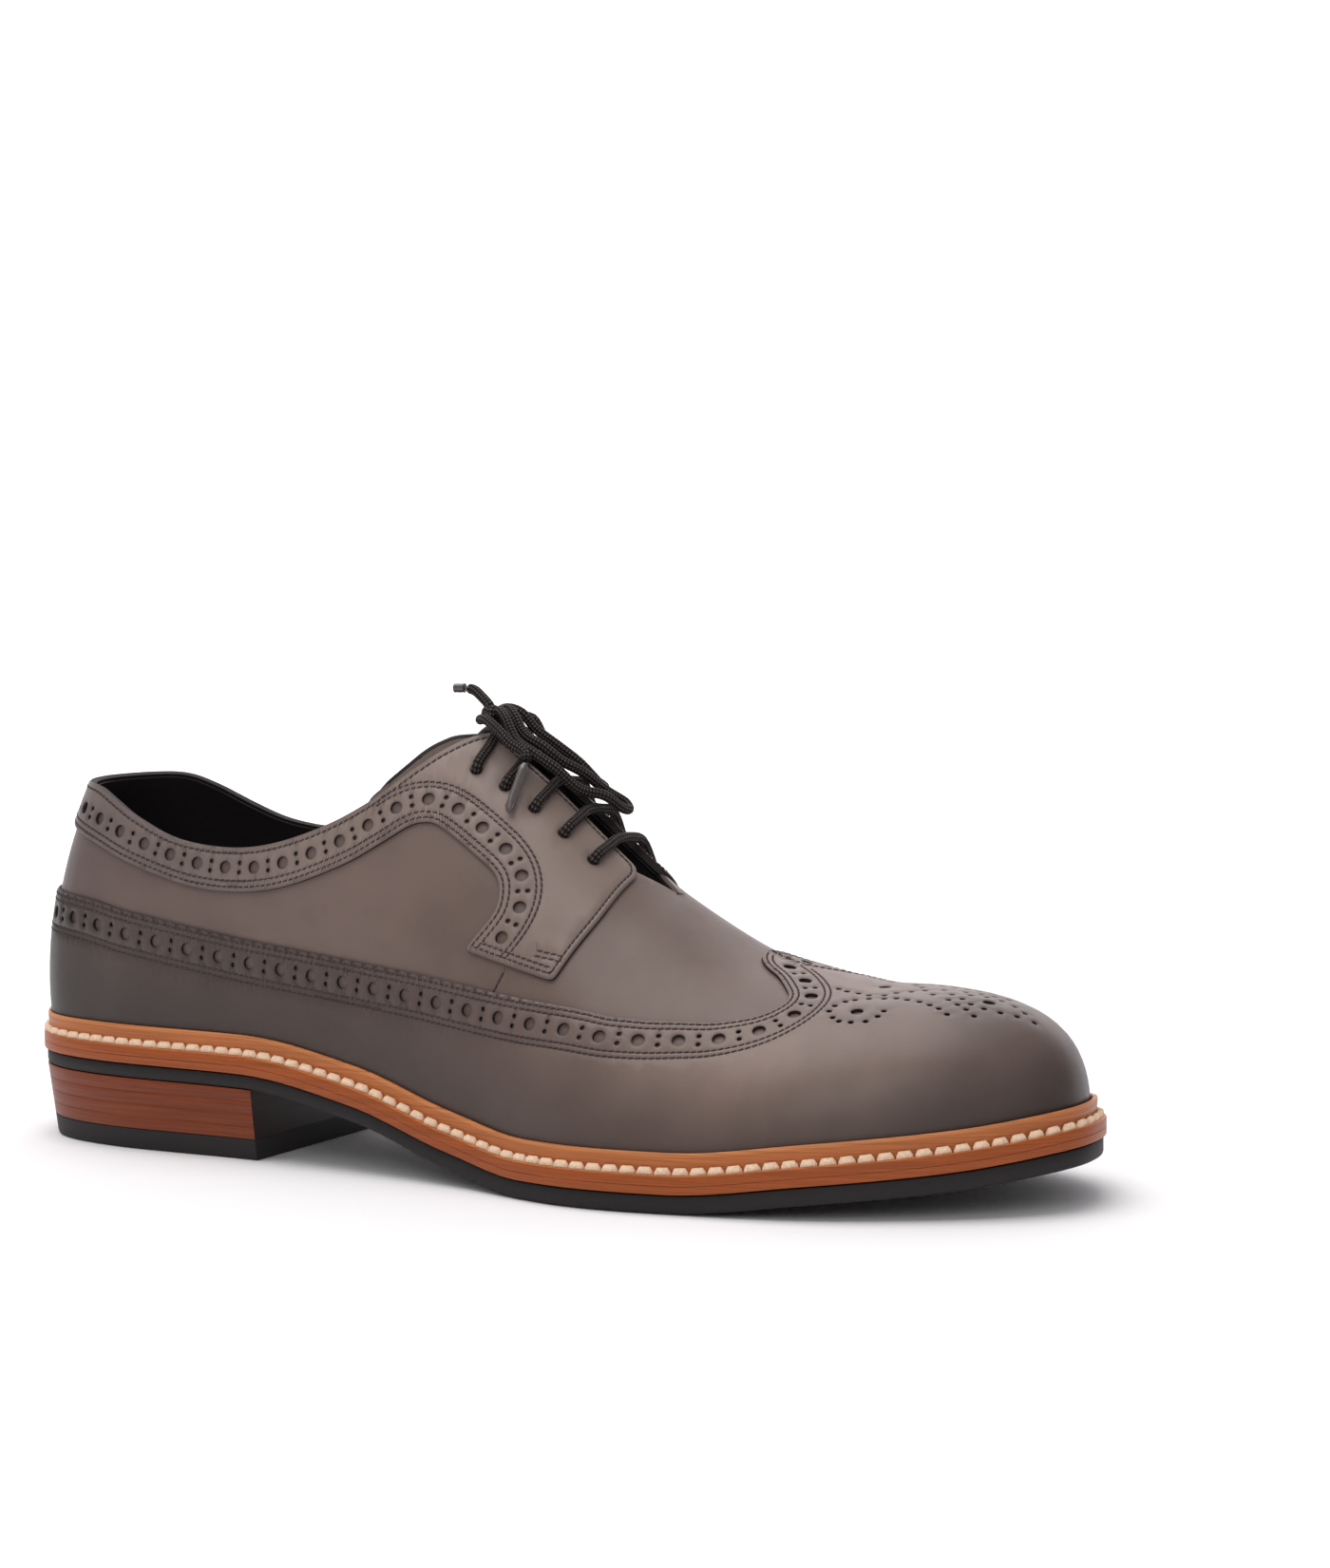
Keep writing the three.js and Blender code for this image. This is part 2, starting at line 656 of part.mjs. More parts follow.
const heelInset = (z) => OUTSOLE_SET_IN + (HEEL_TAPER * (LIFT + STACK - z)) / (LIFT + STACK);

function topLift() {
  return heelPiece([
    [heelInset(0) + EDGE_ROUND / 2, () => 0],
    [heelInset(EDGE_ROUND), () => EDGE_ROUND],
    [heelInset(LIFT), () => LIFT - GAP],
  ]);
}

function heelStack() {
  return heelPiece([
    [heelInset(LIFT), () => LIFT],
    [heelInset(LIFT + STACK), (x) => outsoleBottom(x) - GAP],
  ]);
}

// Laces: a round cord along a curve
function cord(points, steps, diameter) {
  const path = new THREE.CatmullRomCurve3(points, false, 'centripetal');
  const round = new THREE.Shape();
  for (let k = 0; k < LACE_SIDES; k += 1) {
    const angle = (2 * Math.PI * k) / LACE_SIDES;
    const [x, y] = [(diameter / 2) * Math.cos(angle), (diameter / 2) * Math.sin(angle)];
    if (k === 0) round.moveTo(x, y);
    else round.lineTo(x, y);
  }
  round.closePath();
  return merged(new THREE.ExtrudeGeometry(round, { steps, extrudePath: path, bevelEnabled: false }));
}

// A loose piece of lace along points chosen by hand, about three steps to every two of them
function looseCord(rows, diameter) {
  const steps = Math.floor(((rows.length - 1) * 3) / 2);
  return cord(rows.map((row) => new THREE.Vector3(...row)), steps, diameter);
}

// One bar of lace: out of the hole in one facing, straight over the throat and into the other
function laceBar(k) {
  const rest = OVERLAY + LACE / 2 + GAP;
  const half = [-1, 1].map((side) => {
    const hole = eyelet(k, side);
    const edge = skinAt(eyeletX(k), ridgeY(eyeletX(k)) + (side * THROAT_GAP) / 2);
    return [
      hole.at,
      hole.at.clone().addScaledVector(hole.out, rest + LACE / 4),
      edge.at.clone().addScaledVector(edge.out, rest + LACE / 8),
    ];
  });
  return cord([...half[0], ...half[1].reverse()], BAR_STEPS, LACE);
}

function knot() {
  const ball = new THREE.SphereGeometry(1, 3 * LACE_SIDES / 2, LACE_SIDES);
  ball.scale(...KNOT_RADII);
  ball.translate(...KNOT_AT);
  return merged(ball);
}

// Materials
const material = (color, roughness) => new THREE.MeshStandardMaterial({ color, roughness, metalness: 0 });
const upperLeather = material(0x6e605c, 0.5);
const tongueLeather = material(0x3a3330, 0.6);
const weltLeather = material(0x9a5f3b, 0.5);
const midsoleLeather = material(0x8a5232, 0.5);
const stackLeather = material(0x6d3a27, 0.45);
const blackRubber = material(0x262424, 0.75);
const insoleLeather = material(0x1a1718, 0.8);
const blackLace = material(0x171413, 0.7);
const clearTip = material(0x77726c, 0.3);

const shoe = new THREE.Group();
function add(name, geometry, finish) {
  const mesh = new THREE.Mesh(geometry, finish);
  mesh.name = name;
  shoe.add(mesh);
}

add('top_lift', topLift(), blackRubber);
add('heel_stack', heelStack(), stackLeather);
add('outsole', outsole(), blackRubber);
add('midsole', midsole(), midsoleLeather);
add('welt', welt(), weltLeather);
add('insole', insole(), insoleLeather);
add('upper', upper(), upperLeather);
add('tongue', tongue(), tongueLeather);
for (const k of eachEyelet) add(`lace_bar_${k + 1}`, laceBar(k), blackLace);

// The shoe stands on the floor with the middle of its box over the origin.
const box = new THREE.Box3().setFromObject(shoe);
shoe.position.set(-(box.min.x + box.max.x) / 2, -(box.min.y + box.max.y) / 2, -box.min.z);

add('lace_knot', knot(), blackLace);
add('lace_loop_near', looseCord(LOOP_NEAR, LACE), blackLace);
add('lace_loop_far', looseCord(LOOP_FAR, LACE), blackLace);
add('lace_end_back', looseCord(END_BACK, LACE), blackLace);
add('lace_end_front', looseCord(END_FRONT, LACE), blackLace);
add('lace_tip_back', looseCord(TIP_BACK, TIP_DIAMETER), clearTip);
add('lace_tip_front', looseCord(TIP_FRONT, TIP_DIAMETER), clearTip);

export default shoe;
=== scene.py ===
# %% [markdown]
# # A longwing brogue in leather
# The shoe is built on its last, the foot-shaped form that a shoemaker works on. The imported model
# gives the solids; here each leather piece, seam, hole and lace gets its looks.

# %% Load the frame
import math

import bmesh
import bpy
import numpy as np
from mathutils import Matrix, Vector
from mathutils.geometry import delaunay_2d_cdt
from mathutils.kdtree import KDTree


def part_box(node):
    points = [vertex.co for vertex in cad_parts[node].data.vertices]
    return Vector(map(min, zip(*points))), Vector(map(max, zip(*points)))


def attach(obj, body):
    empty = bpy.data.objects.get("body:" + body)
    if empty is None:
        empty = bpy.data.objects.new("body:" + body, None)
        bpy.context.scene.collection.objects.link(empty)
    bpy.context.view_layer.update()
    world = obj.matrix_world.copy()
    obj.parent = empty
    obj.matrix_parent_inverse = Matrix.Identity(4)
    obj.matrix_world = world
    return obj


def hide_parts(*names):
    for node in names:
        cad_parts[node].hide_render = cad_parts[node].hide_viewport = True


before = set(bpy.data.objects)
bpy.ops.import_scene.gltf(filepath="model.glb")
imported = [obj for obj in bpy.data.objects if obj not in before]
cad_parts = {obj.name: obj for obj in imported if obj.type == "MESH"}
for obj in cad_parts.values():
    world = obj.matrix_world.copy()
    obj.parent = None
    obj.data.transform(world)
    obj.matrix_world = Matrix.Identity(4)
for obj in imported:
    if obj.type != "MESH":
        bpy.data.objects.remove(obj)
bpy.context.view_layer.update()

MM = 0.001
bpy.ops.object.select_all(action="DESELECT")
print("nodes", len(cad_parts))

# %% [markdown]
# ## Sizes
# These are the shoemaker's own sizes in millimetres, the ones that the solids were made with.
# Tables hold shares of them, a row for each section of the last from the heel to the toe.

# %% Driving sizes
LENGTH = 308.0
BALL_WIDTH = 94.0
BACK_HEIGHT = 112.0
TOE_SPRING = 11.4
LIFT = 5.6
STACK = 14.0
HEEL_BREAST = 85.0
HEEL_TAPER = 2.4
OUTSOLE_HEEL = 4.0
OUTSOLE_TREAD = 4.9
OUTSOLE_SET_IN = 0.8
EDGE_ROUND = 0.9
MIDSOLE = 2.2
WELT = 2.6
WELT_HEEL = 3.2
WELT_SIDE = 5.2
LIP_HEIGHT = 5.2
INSOLE = 2.6
LEATHER = 1.7
OVERLAY = 1.1
TONGUE = 1.8
THROAT_GAP = 12.4
EYELETS = 5
EYELET_SPREAD = 33.0
LACE = 2.7
GAP = 0.3
print("sole", LENGTH, "long, heel", LIFT + STACK, "high")

# %% [markdown]
# ## The last
# A last is measured at sections from heel to toe. Each row holds one section: how far it reaches to
# the outer and the inner side, how steeply its wall leans, where its ridge lies, and how wide the
# welt stands out beside it. The sole has a table of its own, read from the side.

# %% The last, heel to toe
LAST = np.array([
    # x, outer, inner, lean, leanIn, low, fanX, fanY, ridge, cone, slant, high, slope, welt
    [0.010, 0, 0, 83, 83, 0.40, 0.149, 0, 1, 0.245, 62, 0.33, 0, 0],
    [0.042, 0.239, 0.239, 83, 83, 0.40, 0.149, 0, 1, 0.223, 62, 0.33, 0, 0.3],
    [0.123, 0.324, 0.319, 84, 84, 0.40, 0.149, 0, 1, 0.181, 66, 0.35, 0, 0.9],
    [0.253, 0.332, 0.293, 84, 80, 0.42, 0.276, 0.011, 1.054, 0.149, 68, 0.35, 0, 1],
    [0.373, 0.358, 0.250, 83, 76, 0.40, 0.383, 0.030, 1.143, 0.053, 50, 0.30, 0, 1],
    [0.494, 0.413, 0.287, 84, 79, 0.42, 0.494, 0.060, 0.921, 0, 0, 0.62, 0, 1],
    [0.617, 0.515, 0.404, 86, 84, 0.50, 0.617, 0.092, 0.631, 0, 0, 0.58, 0, 1],
    [0.721, 0.488, 0.484, 86, 86, 0.55, 0.721, 0.090, 0.487, 0, 0, 0.60, 0, 1],
    [0.818, 0.417, 0.479, 86, 86, 0.62, 0.805, 0.088, 0.445, 0, 0, 0.70, 0, 1],
    [0.909, 0.266, 0.399, 87, 87, 0.70, 0.805, 0.088, 0.445, 0, 0, 0.76, 0.02, 1],
    [0.963, 0.117, 0.250, 88, 88, 0.73, 0.805, 0.088, 0.445, 0, 0, 0.78, 0.02, 0.95],
    [0.984, 0.032, 0.032, 88, 88, 0.74, 0.805, 0.088, 0.445, 0, 0, 0.80, 0.02, 0.9],
])
COLUMNS = "x outer inner lean lean_in low fan_x fan_y ridge cone slant high slope welt".split()
LAST_OF = {name: LAST[:, k] for k, name in enumerate(COLUMNS)}
ROWS = len(LAST)
LOOP = 2 * (ROWS - 1)

# The sole from the side: place, height as a share of the heel, toe spring, thinness over the heel
SOLE = np.array([
    [-0.02, 1, 0, 1],
    [0.262, 0.970, 0, 1],
    [0.383, 0.680, 0, 0.6],
    [0.488, 0.205, 0, 0.15],
    [0.570, 0, 0, 0],
    [0.705, 0, 0, 0],
    [0.815, 0, 0.300, 0],
    [0.927, 0, 0.620, 0],
    [1.010, 0, 1.020, 0],
])
print("sections of the last", ROWS, "rows of the sole", len(SOLE))

# %% [markdown]
# ## Lines drawn on the last
# A pattern cutter draws the lines of the style on the last before any leather is cut: the collar,
# the band below it, the facing and the wing. They are read from the side, and the wing's front and
# the throat from above, because there the skin lies flat.

# %% Lines of the upper
# Side view: x as a share of the length, z as a share of the back height.
COLLAR_LINE = np.array([
    [0.045, 0.855], [0.085, 0.852], [0.110, 0.828], [0.145, 0.782], [0.185, 0.742],
    [0.235, 0.726], [0.280, 0.738], [0.330, 0.782], [0.372, 0.842], [0.405, 0.912],
    [0.430, 0.965], [0.450, 0.993], [0.475, 0.997],
])
BAND_EDGE = np.array([
    [-0.060, 0.800], [0.045, 0.753], [0.092, 0.722], [0.140, 0.677], [0.200, 0.634],
    [0.252, 0.625], [0.301, 0.644], [0.356, 0.699], [0.389, 0.748], [0.416, 0.794],
    [0.428, 0.802], [0.442, 0.797], [0.480, 0.738], [0.504, 0.691], [0.511, 0.645],
    [0.509, 0.605], [0.489, 0.529],
])
BAND_PEAK = 10  # the row where the band turns down beside the facing
FACING_EDGE = np.array([[0.577, 0.471], [0.585, 0.530], [0.592, 0.590], [0.593, 0.640], [0.590, 0.710]])
WING_EDGE = np.array([
    [-0.060, 0.600], [0.075, 0.592], [0.145, 0.564], [0.245, 0.524], [0.325, 0.501],
    [0.445, 0.468], [0.535, 0.438], [0.598, 0.420], [0.640, 0.403],
])
# Plan view of the wing's front: x as a share of the length, sides as shares of the ball width.
WING_FRONT = np.array([
    [0.632, -0.398, 0.352], [0.663, -0.371, 0.368], [0.691, -0.335, 0.367],
    [0.721, -0.297, 0.354], [0.747, -0.250, 0.329], [0.758, -0.190, 0.290],
    [0.756, -0.140, 0.262], [0.747, -0.103, 0.243], [0.731, -0.049, 0.209],
    [0.714, -0.012, 0.178], [0.703, 0.030, 0.147], [0.697, 0.088, 0.088],
])
TONGUE_TOP = np.array([
    [0.360, 0.845], [0.382, 0.895], [0.398, 0.935], [0.411, 0.968], [0.424, 0.990],
    [0.440, 1.003], [0.500, 1.005],
])
THROAT_CORNER = 0.588 * LENGTH
THROAT_END = 0.614 * LENGTH
EYELET_FIRST = 0.459
EYELET_LAST = 0.564
print("points of the wing", len(WING_EDGE) + len(WING_FRONT))

# %% [markdown]
# ## The last as a function
# The wall of the last rises from the feather edge, where the upper meets the sole, to the ridge.
# `s` runs once round the shoe, by the outer side to the toe and back by the inner side, and `t`
# rises from the feather (0) to the ridge (1). Every leather piece is cut from this one surface.

# %% Smooth tables
def slope_between(before, after):
    """Slope at a row from the slopes beside it: level where the table is level."""
    total = before + after
    safe = np.where(np.abs(total) < 1e-12, 1.0, total)
    return np.where(before * after <= 0, 0.0, 2 * before * after / safe)


def hermite(a, b, slope_a, slope_b, u):
    square, cube = u * u, u * u * u
    first = (2 * cube - 3 * square + 1) * a + (cube - 2 * square + u) * slope_a
    return first + (3 * square - 2 * cube) * b + (cube - square) * slope_b


def look_up(table, column, x):
    """A column of a table whose first column is x, between its rows."""
    places, values = table[:, 0], table[:, column]
    x = np.clip(np.asarray(x, float), places[0], places[-1])
    k = np.clip(np.searchsorted(places, x, side="left") - 1, 0, len(places) - 2)
    rise = np.diff(values) / np.diff(places)
    step = places[k + 1] - places[k]
    before = rise[np.maximum(k - 1, 0)]
    after = rise[np.minimum(k + 1, len(rise) - 1)]
    slope_a = np.where(k > 0, slope_between(before, rise[k]), rise[k])
    slope_b = np.where(k < len(rise) - 1, slope_between(rise[k], after), rise[k])
    return hermite(values[k], values[k + 1], slope_a * step, slope_b * step, (x - places[k]) / step)


def outsole_bottom(x):
    share = np.asarray(x) / LENGTH
    return look_up(SOLE, 1, share) * (LIFT + STACK) + look_up(SOLE, 2, share) * TOE_SPRING


def outsole_top(x):
    thin = look_up(SOLE, 3, np.asarray(x) / LENGTH)
    return outsole_bottom(x) + OUTSOLE_TREAD + thin * (OUTSOLE_HEEL - OUTSOLE_TREAD)


def midsole_top(x):
    return outsole_top(x) + MIDSOLE


def welt_top(x):
    return midsole_top(x) + WELT


print("sole over the floor at the toe", round(float(outsole_bottom(LENGTH)), 1))

# %% [markdown]
# ## The skin of the last
# Between two sections the numbers pass smoothly into each other, and each wall is one Bezier curve
# from the feather up to the ridge. So every place on the skin has two numbers, and the way out of
# the skin follows from how it runs.

# %% The wall of the last
ORDER = [k if k < ROWS else LOOP - k for k in range(LOOP)]
ROUND = {name: column[ORDER] for name, column in LAST_OF.items()}
MEDIAL = np.arange(LOOP) >= ROWS
ROUND["side"] = np.where(MEDIAL | (np.arange(LOOP) == ROWS - 1), ROUND["inner"], -ROUND["outer"])
ROUND["lean"] = np.where(MEDIAL, ROUND["lean_in"], ROUND["lean"])


def round_value(name, s, curved=False):
    """A column of the last at place s of the loop; curved columns pass smoothly through rows."""
    s = np.mod(s, LOOP)
    k = np.floor(s).astype(int) % LOOP
    u = s - np.floor(s)
    a, b, c, d = (ROUND[name][(k + n) % LOOP] for n in (-1, 0, 1, 2))
    if curved:
        return hermite(b, c, (c - a) / 2, (d - b) / 2, u)
    return hermite(b, c, slope_between(b - a, c - b), slope_between(c - b, d - c), u)


def foot_point(s):
    return np.stack([
        round_value("x", s, True) * LENGTH,
        round_value("side", s, True) * BALL_WIDTH,
    ], axis=-1)


def wall(s, t):
    """Points of the last's skin, in millimetres from the back of the sole."""
    s, t = np.broadcast_arrays(np.asarray(s, float), np.asarray(t, float))
    foot = foot_point(s)
    centre = np.stack([round_value("fan_x", s) * LENGTH, round_value("fan_y", s) * BALL_WIDTH], -1)
    outward = foot - centre
    reach = np.linalg.norm(outward, axis=-1)
    outward = outward / reach[..., None]
    floor = welt_top(foot[..., 0]) + GAP
    top = round_value("ridge", s) * BACK_HEIGHT
    rise = top - floor
    cone = round_value("cone", s) * BALL_WIDTH
    lean = np.radians(round_value("lean", s))
    slant = np.radians(round_value("slant", s))
    low = round_value("low", s) * rise
    pull = (reach - cone) * np.cos(slant) ** 2 + rise * np.sin(slant) ** 2
    high = round_value("high", s) * pull
    corners = [
        (reach, floor),
        (reach + low / np.tan(lean), floor + low),
        (
            cone + high * np.cos(slant),
            top - high * np.sin(slant) + round_value("slope", s) * outward[..., 0] * high,
        ),
        (cone, top),
    ]
    shares = [(1 - t) ** 3, 3 * t * (1 - t) ** 2, 3 * t * t * (1 - t), t ** 3]
    out = sum(share * corner[0] for share, corner in zip(shares, corners))
    up = sum(share * corner[1] for share, corner in zip(shares, corners))
    return np.stack([
        centre[..., 0] + outward[..., 0] * out,
        centre[..., 1] + outward[..., 1] * out,
        up,
    ], axis=-1)


NUDGE = 0.004


def wall_frame(s, t):
    """Where the skin is, how it runs with s and with t, and its way out."""
    t = np.clip(t, 0, 1 - 2 * NUDGE)
    low = np.maximum(t - NUDGE, 0)
    along_s = (wall(s + NUDGE, t) - wall(s - NUDGE, t)) / (2 * NUDGE)
    along_t = (wall(s, t + NUDGE) - wall(s, low)) / (t + NUDGE - low)[..., None]
    out = np.cross(along_s, along_t)
    out /= np.maximum(np.linalg.norm(out, axis=-1, keepdims=True), 1e-9)
    return wall(s, t), along_s, along_t, out


def flat_point(s, t):
    """The same place on a flat pattern: the skin pressed down into the outline of the foot."""
    foot = foot_point(s)
    centre = np.stack([round_value("fan_x", s) * LENGTH, round_value("fan_y", s) * BALL_WIDTH], -1)
    return centre + (foot - centre) * (1 - np.asarray(t))[..., None]


print("last", np.round(wall(np.array([0.0, 5.5, 11.0]), np.array([0.5, 0.5, 0.5])), 1).tolist())

# %% [markdown]
# ## The frame's origin
# The tables measure from the back of the sole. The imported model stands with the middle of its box
# over the origin, so the shift between the two is read off the welt, whose outline is known here.

# %% Shift into the frame
def outline_point(s, inset=0.0):
    """The outline of the welt, moved in by some millimetres."""
    foot = foot_point(s)
    along = foot_point(s + 5 * NUDGE) - foot_point(s - 5 * NUDGE)
    along /= np.linalg.norm(along, axis=-1, keepdims=True)
    margin = WELT_HEEL + round_value("welt", s) * (WELT_SIDE - WELT_HEEL) - inset
    return foot + np.stack([along[..., 1], -along[..., 0]], -1) * margin[..., None]


def feather_point(s, out=0.0):
    """The feather edge, where the upper meets the sole, moved out by some millimetres."""
    foot = foot_point(s)
    along = foot_point(s + 5 * NUDGE) - foot_point(s - 5 * NUDGE)
    along /= np.linalg.norm(along, axis=-1, keepdims=True)
    return foot + np.stack([along[..., 1], -along[..., 0]], -1) * np.asarray(out)[..., None]


THIRDS = np.arange(3 * LOOP) / 3
OUTLINE = outline_point(THIRDS)
CAD_LOW, CAD_HIGH = (np.array(corner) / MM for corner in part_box("midsole"))
SHIFT = np.array([*((CAD_LOW + CAD_HIGH)[:2] / 2 - (OUTLINE.min(0) + OUTLINE.max(0)) / 2), 0.0])
print("shift in millimetres", np.round(SHIFT, 2).tolist())


def metres(points):
    """Shoe millimetres to the frame's metres."""
    return (np.asarray(points, float) + SHIFT) * MM


# %% [markdown]
# ## Camera
# The camera is a plain perspective one. Its place and direction were worked out from straight and
# level things on the shoe, so it looks at the shoe as the photograph does.

# %% Camera
CAMERA_AT = (748.2, -980.5, 209.2)
CAMERA_AZIMUTH = math.radians(29.626)
CAMERA_ELEVATION = math.radians(5.522)
CAMERA_ROLL = math.radians(-0.705)
PICTURE_HEIGHT = 1650
FOCAL_PIXELS = 4674.0
SENSOR = 36.0


def make_camera():
    data = bpy.data.cameras.new("camera")
    data.sensor_width = SENSOR
    data.lens = FOCAL_PIXELS / PICTURE_HEIGHT * SENSOR
    data.clip_start, data.clip_end = 0.05, 20
    camera = bpy.data.objects.new("camera", data)
    bpy.context.collection.objects.link(camera)
    back = Vector((
        math.sin(CAMERA_AZIMUTH) * math.cos(CAMERA_ELEVATION),
        -math.cos(CAMERA_AZIMUTH) * math.cos(CAMERA_ELEVATION),
        math.sin(CAMERA_ELEVATION),
    ))
    level = Vector((math.cos(CAMERA_AZIMUTH), math.sin(CAMERA_AZIMUTH), 0))
    upright = back.cross(level)
    right = level * math.cos(CAMERA_ROLL) + upright * math.sin(CAMERA_ROLL)
    above = back.cross(right)
    turn = Matrix((right, above, back)).transposed()
    camera.matrix_world = Matrix.Translation(metres(CAMERA_AT)) @ turn.to_4x4()
    bpy.context.scene.camera = camera
    print("lens", round(data.lens, 1))


make_camera()

# %% [markdown]
# ## Materials
# Each finish is made of nodes alone. `Wire` wraps a node's output, so that a finish reads as plain
# arithmetic, and `Look` holds one material with the place on the shoe in millimetres.

# %% Nodes as arithmetic
SHEEN = 0.25


class Wire:
    """A number in a material. Arithmetic on it adds math nodes."""

    def __init__(self, look, socket):
        self.look = look
        self.socket = socket

    def math(self, operation, first, second=0.0):
        node = self.look.tree.nodes.new("ShaderNodeMath")
        node.operation = operation
        self.look.feed(node.inputs[0], first)
        self.look.feed(node.inputs[1], second)
        return Wire(self.look, node.outputs[0])

    def __add__(self, other):
        return self.math("ADD", self, other)

    def __sub__(self, other):
        return self.math("SUBTRACT", self, other)

    def __rsub__(self, other):
        return self.math("SUBTRACT", other, self)

    def __mul__(self, other):
        return self.math("MULTIPLY", self, other)

    def __truediv__(self, other):
        return self.math("DIVIDE", self, other)

    def __rtruediv__(self, other):
        return self.math("DIVIDE", other, self)

    def __pow__(self, other):
        return self.math("POWER", self, other)

    __radd__ = __add__
    __rmul__ = __mul__

    def wave(self):
        return self.math("SINE", self)

    def between(self, low, high):
        """0 below low, 1 above high, and a soft step between."""
        return self.look.node(
            "ShaderNodeMapRange",
            {"Value": self, "From Min": low, "From Max": high},
            interpolation_type="SMOOTHSTEP",
        )


class Look:
    """One material. Wires feed its shader."""

    def __init__(self, name, **finish):
        self.material = bpy.data.materials.new(name)
        self.material.use_nodes = True
        self.tree = self.material.node_tree
        self.shader = self.tree.nodes["Principled BSDF"]
        corner = self.node("ShaderNodeTexCoord", output="Object")
        self.place = self.node(
            "ShaderNodeVectorMath",
            {0: corner, 1: (1 / MM, 1 / MM, 1 / MM), 2: tuple(-SHIFT)},
            operation="MULTIPLY_ADD",
        )
        parts = self.tree.nodes.new("ShaderNodeSeparateXYZ")
        self.feed(parts.inputs[0], self.place)
        self.x, self.y, self.z = (Wire(self, parts.outputs[k]) for k in range(3))
        self.feed(self.shader.inputs["Specular IOR Level"], SHEEN)
        for key, value in finish.items():
            self.feed(self.shader.inputs[key.replace("_", " ").title()], value)

    def feed(self, socket, value):
        if isinstance(value, Wire):
            self.tree.links.new(value.socket, socket)
        else:
            socket.default_value = value

    def node(self, kind, inputs=None, output=0, **settings):
        made = self.tree.nodes.new(kind)
        for key, value in settings.items():
            setattr(made, key, value)
        for key, value in (inputs or {}).items():
            self.feed(made.inputs[key], value)
        return Wire(self, made.outputs[output])

    def noise(self, size, detail=3.0, stretch=(1, 1, 1)):
        """Noise from 0 to 1 with blobs of about that many millimetres."""
        scale = tuple(1 / (size * part) for part in stretch)
        place = self.node("ShaderNodeVectorMath", {0: self.place, 1: scale}, operation="MULTIPLY")
        return self.node("ShaderNodeTexNoise", {"Vector": place, "Scale": 1.0, "Detail": detail})

    def mark(self, name):
        """A number kept on the mesh under that name."""
        return self.node("ShaderNodeAttribute", output="Fac", attribute_name=name)

    def mix(self, share, first, second):
        made = self.tree.nodes.new("ShaderNodeMix")
        made.data_type = "RGBA"
        colours = [socket for socket in made.inputs if socket.type == "RGBA"]
        self.feed(made.inputs[0], share)
        self.feed(colours[0], first)
        self.feed(colours[1], second)
        result = [socket for socket in made.outputs if socket.type == "RGBA"][0]
        return Wire(self, result)

    def bump(self, height, depth):
        """A relief of that depth in millimetres."""
        made = self.node("ShaderNodeBump", {"Height": height, "Distance": depth * MM, "Strength": 1.0})
        self.feed(self.shader.inputs["Normal"], made)


def tone(red, green, blue):
    """A colour given by its screen values from 0 to 255, as the linear one that a shader takes."""
    def linear(value):
        share = value / 255
        return share / 12.92 if share < 0.04045 else ((share + 0.055) / 1.055) ** 2.4
    return (*(linear(value) for value in (red, green, blue)), 1)


print("black leather ink", [round(part, 3) for part in tone(38, 31, 30)])


# %% [markdown]
# ## Floor and light
# The shoe stands on a sheet of white paper that rises behind it, in a softly lit room. A broad light
# above draws the long highlight on the toe, a weaker one in front fills the shade, and one behind
# whitens the paper. The paper glows a little away from the shoe, so its blacks stay black.

# %% Floor and light
FLOOR_DROP = -0.00015
SWEEP_START = 0.9
SWEEP_RADIUS = 0.8
SWEEP_STEPS = 16
SWEEP_SIDE = 4
PAPER_WHITE = (0.92, 0.91, 0.92, 1)
PAPER_GLOW = (0.3, 0.29, 0.3, 1)
GLOW_REACH = (200, 650)
ROOM_LIGHT = 0.3


def area_light(name, place, size, power):
    """A soft square light that looks at the shoe."""
    data = bpy.data.lights.new(name, "AREA")
    data.size, data.energy = size, power
    light = bpy.data.objects.new(name, data)
    bpy.context.collection.objects.link(light)
    light.location = place
    light.rotation_euler = (-Vector(place) + Vector((0, 0, 0.06))).to_track_quat("-Z", "Y").to_euler()
    return light


def paper_sweep():
    """White paper that lies under the shoe and rises behind it in a wide curve."""
    ahead = Vector((-math.sin(CAMERA_AZIMUTH), math.cos(CAMERA_AZIMUTH), 0))
    beside = Vector((math.cos(CAMERA_AZIMUTH), math.sin(CAMERA_AZIMUTH), 0))
    profile = [(-2.5, FLOOR_DROP), (SWEEP_START, FLOOR_DROP)]
    for k in range(1, SWEEP_STEPS + 1):
        angle = math.pi / 2 * k / SWEEP_STEPS
        profile.append((
            SWEEP_START + SWEEP_RADIUS * math.sin(angle),
            SWEEP_RADIUS * (1 - math.cos(angle)) + FLOOR_DROP,
        ))
    profile.append((SWEEP_START + SWEEP_RADIUS, 3.0))
    points = []
    for away, up in profile:
        for side in (-SWEEP_SIDE, SWEEP_SIDE):
            points.append(ahead * away + beside * side + Vector((0, 0, up)))
    faces = [(2 * k, 2 * k + 1, 2 * k + 3, 2 * k + 2) for k in range(len(profile) - 1)]
    mesh = bpy.data.meshes.new("paper_sweep")
    mesh.from_pydata(points, [], faces)
    paper = Look("paper", base_color=PAPER_WHITE, roughness=1.0, emission_strength=1.0)
    # Painted light: the paper glows more away from the shoe and not at all near it, so the shade round the
    # shoe stays dark.
    away = ((paper.x - LENGTH / 2) ** 2.0 + paper.y ** 2.0) ** 0.5
    glow = paper.mix(away.between(*GLOW_REACH), (0, 0, 0, 1), PAPER_GLOW)
    paper.feed(paper.shader.inputs["Emission Color"], glow)
    mesh.materials.append(paper.material)
    sweep = bpy.data.objects.new("paper_sweep", mesh)
    bpy.context.collection.objects.link(sweep)


